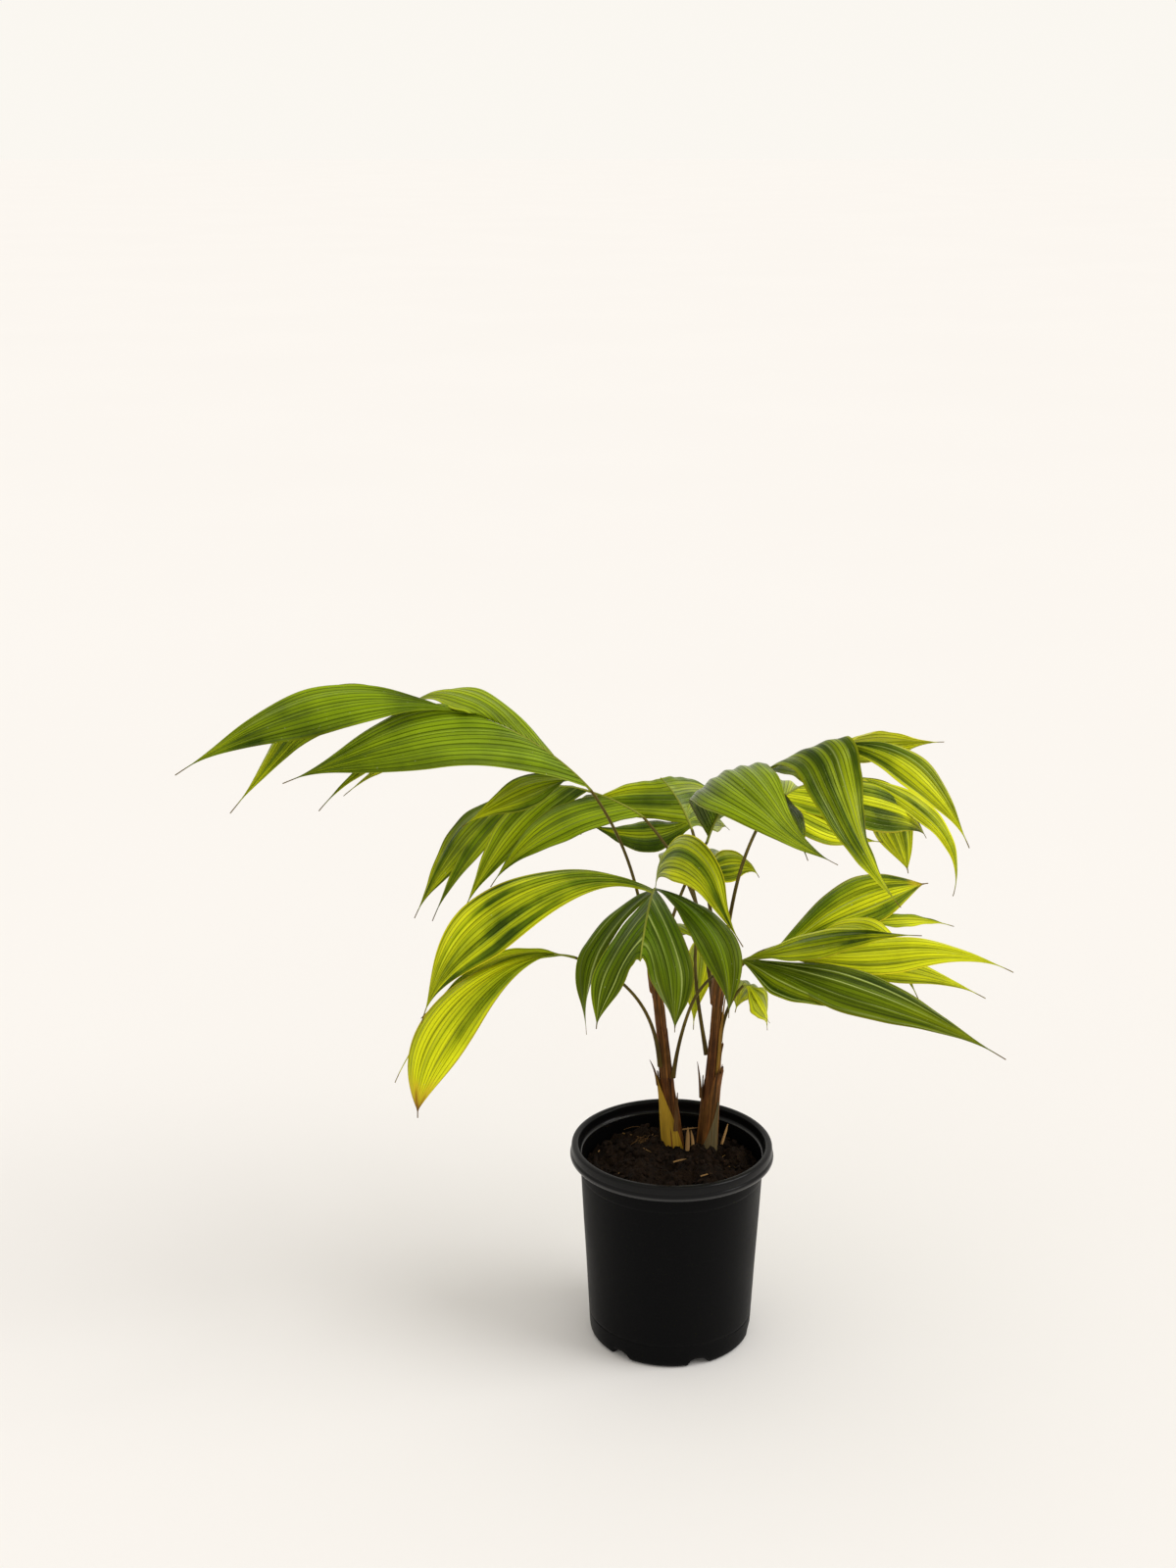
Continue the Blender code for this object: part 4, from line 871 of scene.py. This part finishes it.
def soil_finish(patches, relief):
    """Potting mix: near-black crumbs with browner ones by their mark and by fine patches."""
    made = Finish("soil", 0.95, 0.1)
    fine = made.mask(patches, Vector=made.place, Scale=520.0, Low=0.40, High=0.75)
    broad = made.mask(patches, Vector=made.place, Scale=90.0)
    colour = made.mix(broad, SOIL_DARK, SOIL_BROWN)
    colour = made.mix(made.sum(made.mark("lime"), "MULTIPLY", made.sum(fine, "MULTIPLY", 0.8)), colour, SOIL_LIGHT)
    height = made.sum(fine, "ADD", broad)
    return made.done(colour, made.ramp(broad, 0.0, 1.0, 0.8, 1.0), made.mask(relief, Height=height, Strength=0.9, Distance=0.0009))


def pot_finish(streaks, patches, relief):
    """Black moulded plastic: dull on the body with a faint haze of dust and fine scuffs round it,
    and shinier on the lip and most on its bead, by how high each lies."""
    made = Finish("pot_plastic", 0.42, POT_GLOSS)
    haze = made.mask(patches, Vector=made.place, Scale=9.0, Low=0.3, High=0.75)
    scuff = made.mask(streaks, Vector=made.surface, Along=40.0, Across=900.0, Low=0.62, High=0.74)
    grain = made.mask(patches, Vector=made.place, Scale=900.0)
    lip = made.ramp(made.mark("along"), 0.905, 0.925)
    colour = made.mix(haze, POT_BLACK, POT_HAZE)
    colour = made.mix(made.sum(scuff, "MULTIPLY", 0.12), colour, POT_SCUFF)
    rough = made.sum(made.ramp(haze, 0.0, 1.0, 0.38, 0.50), "ADD", made.sum(scuff, "MULTIPLY", 0.12))
    made.shader.inputs["Coat Roughness"].default_value = 0.16
    bead = made.sum(made.ramp(made.mark("along"), 0.922, 0.930), "SUBTRACT", made.ramp(made.mark("along"), 0.940, 0.950))
    shine = made.sum(made.sum(lip, "MULTIPLY", 0.25), "ADD", made.sum(bead, "MULTIPLY", 0.7), clamp=True)
    made.tree.links.new(shine, made.shader.inputs["Coat Weight"])
    return made.done(colour, rough, made.mask(relief, Height=grain, Strength=0.25, Distance=0.0002))


def floor_finish(patches):
    """The pale studio floor."""
    made = Finish("floor", 1.0, 0.0)
    soft = made.mask(patches, Vector=made.place, Scale=0.8)
    return made.done(made.mix(soft, FLOOR_TONE, FLOOR_LIGHT))


# Studio


def make_floor(finish):
    """A level floor wide enough to reach the horizon from the camera."""
    reach = FLOOR_REACH
    mesh = bpy.data.meshes.new("floor")
    mesh.from_pydata([(-reach, -reach, 0), (reach, -reach, 0), (reach, reach, 0), (-reach, reach, 0)], [], [(0, 1, 2, 3)])
    mesh.materials.append(finish)
    floor = bpy.data.objects.new("floor", mesh)
    bpy.context.scene.collection.objects.link(floor)


def make_studio():
    """A soft dome, bright overhead and behind the plant and dimmer to the front and sides, one
    broad warm-white key from the right, and the camera."""
    world = bpy.data.worlds.new("studio")
    world.use_nodes = True
    tree = world.node_tree
    way = add(tree, "SeparateXYZ", {0: add(tree, "TexCoord").outputs["Generated"]}).outputs
    behind = add(tree, "MapRange", {"Value": way["Y"], "From Min": 0.45, "From Max": 0.9}, interpolation_type="SMOOTHSTEP")
    low = add(tree, "Mix", {0: behind.outputs[0], 6: (*SIDE_TONE, 1), 7: (*HORIZON_TONE, 1)}, data_type="RGBA")
    rise = add(tree, "MapRange", {"Value": way["Z"], "From Max": DOME_RISE}, interpolation_type="SMOOTHSTEP")
    tone = add(tree, "Mix", {0: rise.outputs[0], 6: low.outputs[2], 7: (*ZENITH_TONE, 1)}, data_type="RGBA")
    tree.links.new(tone.outputs[2], tree.nodes["Background"].inputs["Color"])
    bpy.context.scene.world = world
    key = bpy.data.objects.new("key", bpy.data.lights.new("key", "SUN"))
    key.data.energy, key.data.angle, key.data.color = KEY_STRENGTH, math.radians(KEY_SPREAD), KEY_TONE
    key.rotation_euler = (math.radians(90 - KEY_HEIGHT), 0, math.radians(90 + KEY_SIDE))
    bpy.context.scene.collection.objects.link(key)
    camera = bpy.data.objects.new("camera", bpy.data.cameras.new("camera"))
    camera.location = CAMERA_PLACE
    camera.rotation_euler = (math.radians(CAMERA_TILT), 0, 0)
    camera.data.lens, camera.data.sensor_width = 50, 36
    bpy.context.scene.collection.objects.link(camera)
    bpy.context.scene.camera = camera
    bpy.context.scene.view_settings.view_transform = "Standard"


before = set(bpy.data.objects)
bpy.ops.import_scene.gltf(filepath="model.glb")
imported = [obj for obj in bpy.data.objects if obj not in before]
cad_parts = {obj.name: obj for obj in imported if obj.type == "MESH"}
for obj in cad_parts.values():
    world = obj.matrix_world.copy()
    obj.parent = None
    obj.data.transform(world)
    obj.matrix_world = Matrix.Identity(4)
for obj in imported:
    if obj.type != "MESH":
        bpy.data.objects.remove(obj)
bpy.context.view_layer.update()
streaks, patches, ribs, relief = streaks_effect(), patches_effect(), ribs_effect(), relief_effect()
leaf = leaf_finish(streaks, patches, ribs, relief)
rib = bark_finish("leaf_rib", RIB_DARK, RIB_LIGHT, RIB_FRESH, 0.45, streaks, patches, relief)
stalk = bark_finish("stalk", STALK_DARK, STALK_LIGHT, STALK_FRESH, 0.45, streaks, patches, relief)
bark = bark_finish("stem", BARK_DARK, BARK_LIGHT, BARK_FRESH, 0.62, streaks, patches, relief)
straw = bark_finish("straw", STRAW_DARK, STRAW_LIGHT, STRAW_FRESH, 0.8, streaks, patches, relief)
for order, (name, frond) in enumerate(FRONDS.items()):
    make_frond(name, frond, order, leaf, rib, stalk)
for seed, (name, stem) in enumerate(STEMS.items()):
    make_stem(name, stem, 3 + seed, bark)
    make_piece(name + "_crown", [crown_shell(stem, 5 + seed)], [bark], "stem")
make_piece("sheaths", [sheath_shell(sheath, k) for k, sheath in enumerate(SHEATHS)], [bark], "stem")
make_stubs(straw)
make_pot(pot_finish(streaks, patches, relief))
make_soil(soil_finish(patches, relief), straw)
make_floor(floor_finish(patches))
make_studio()
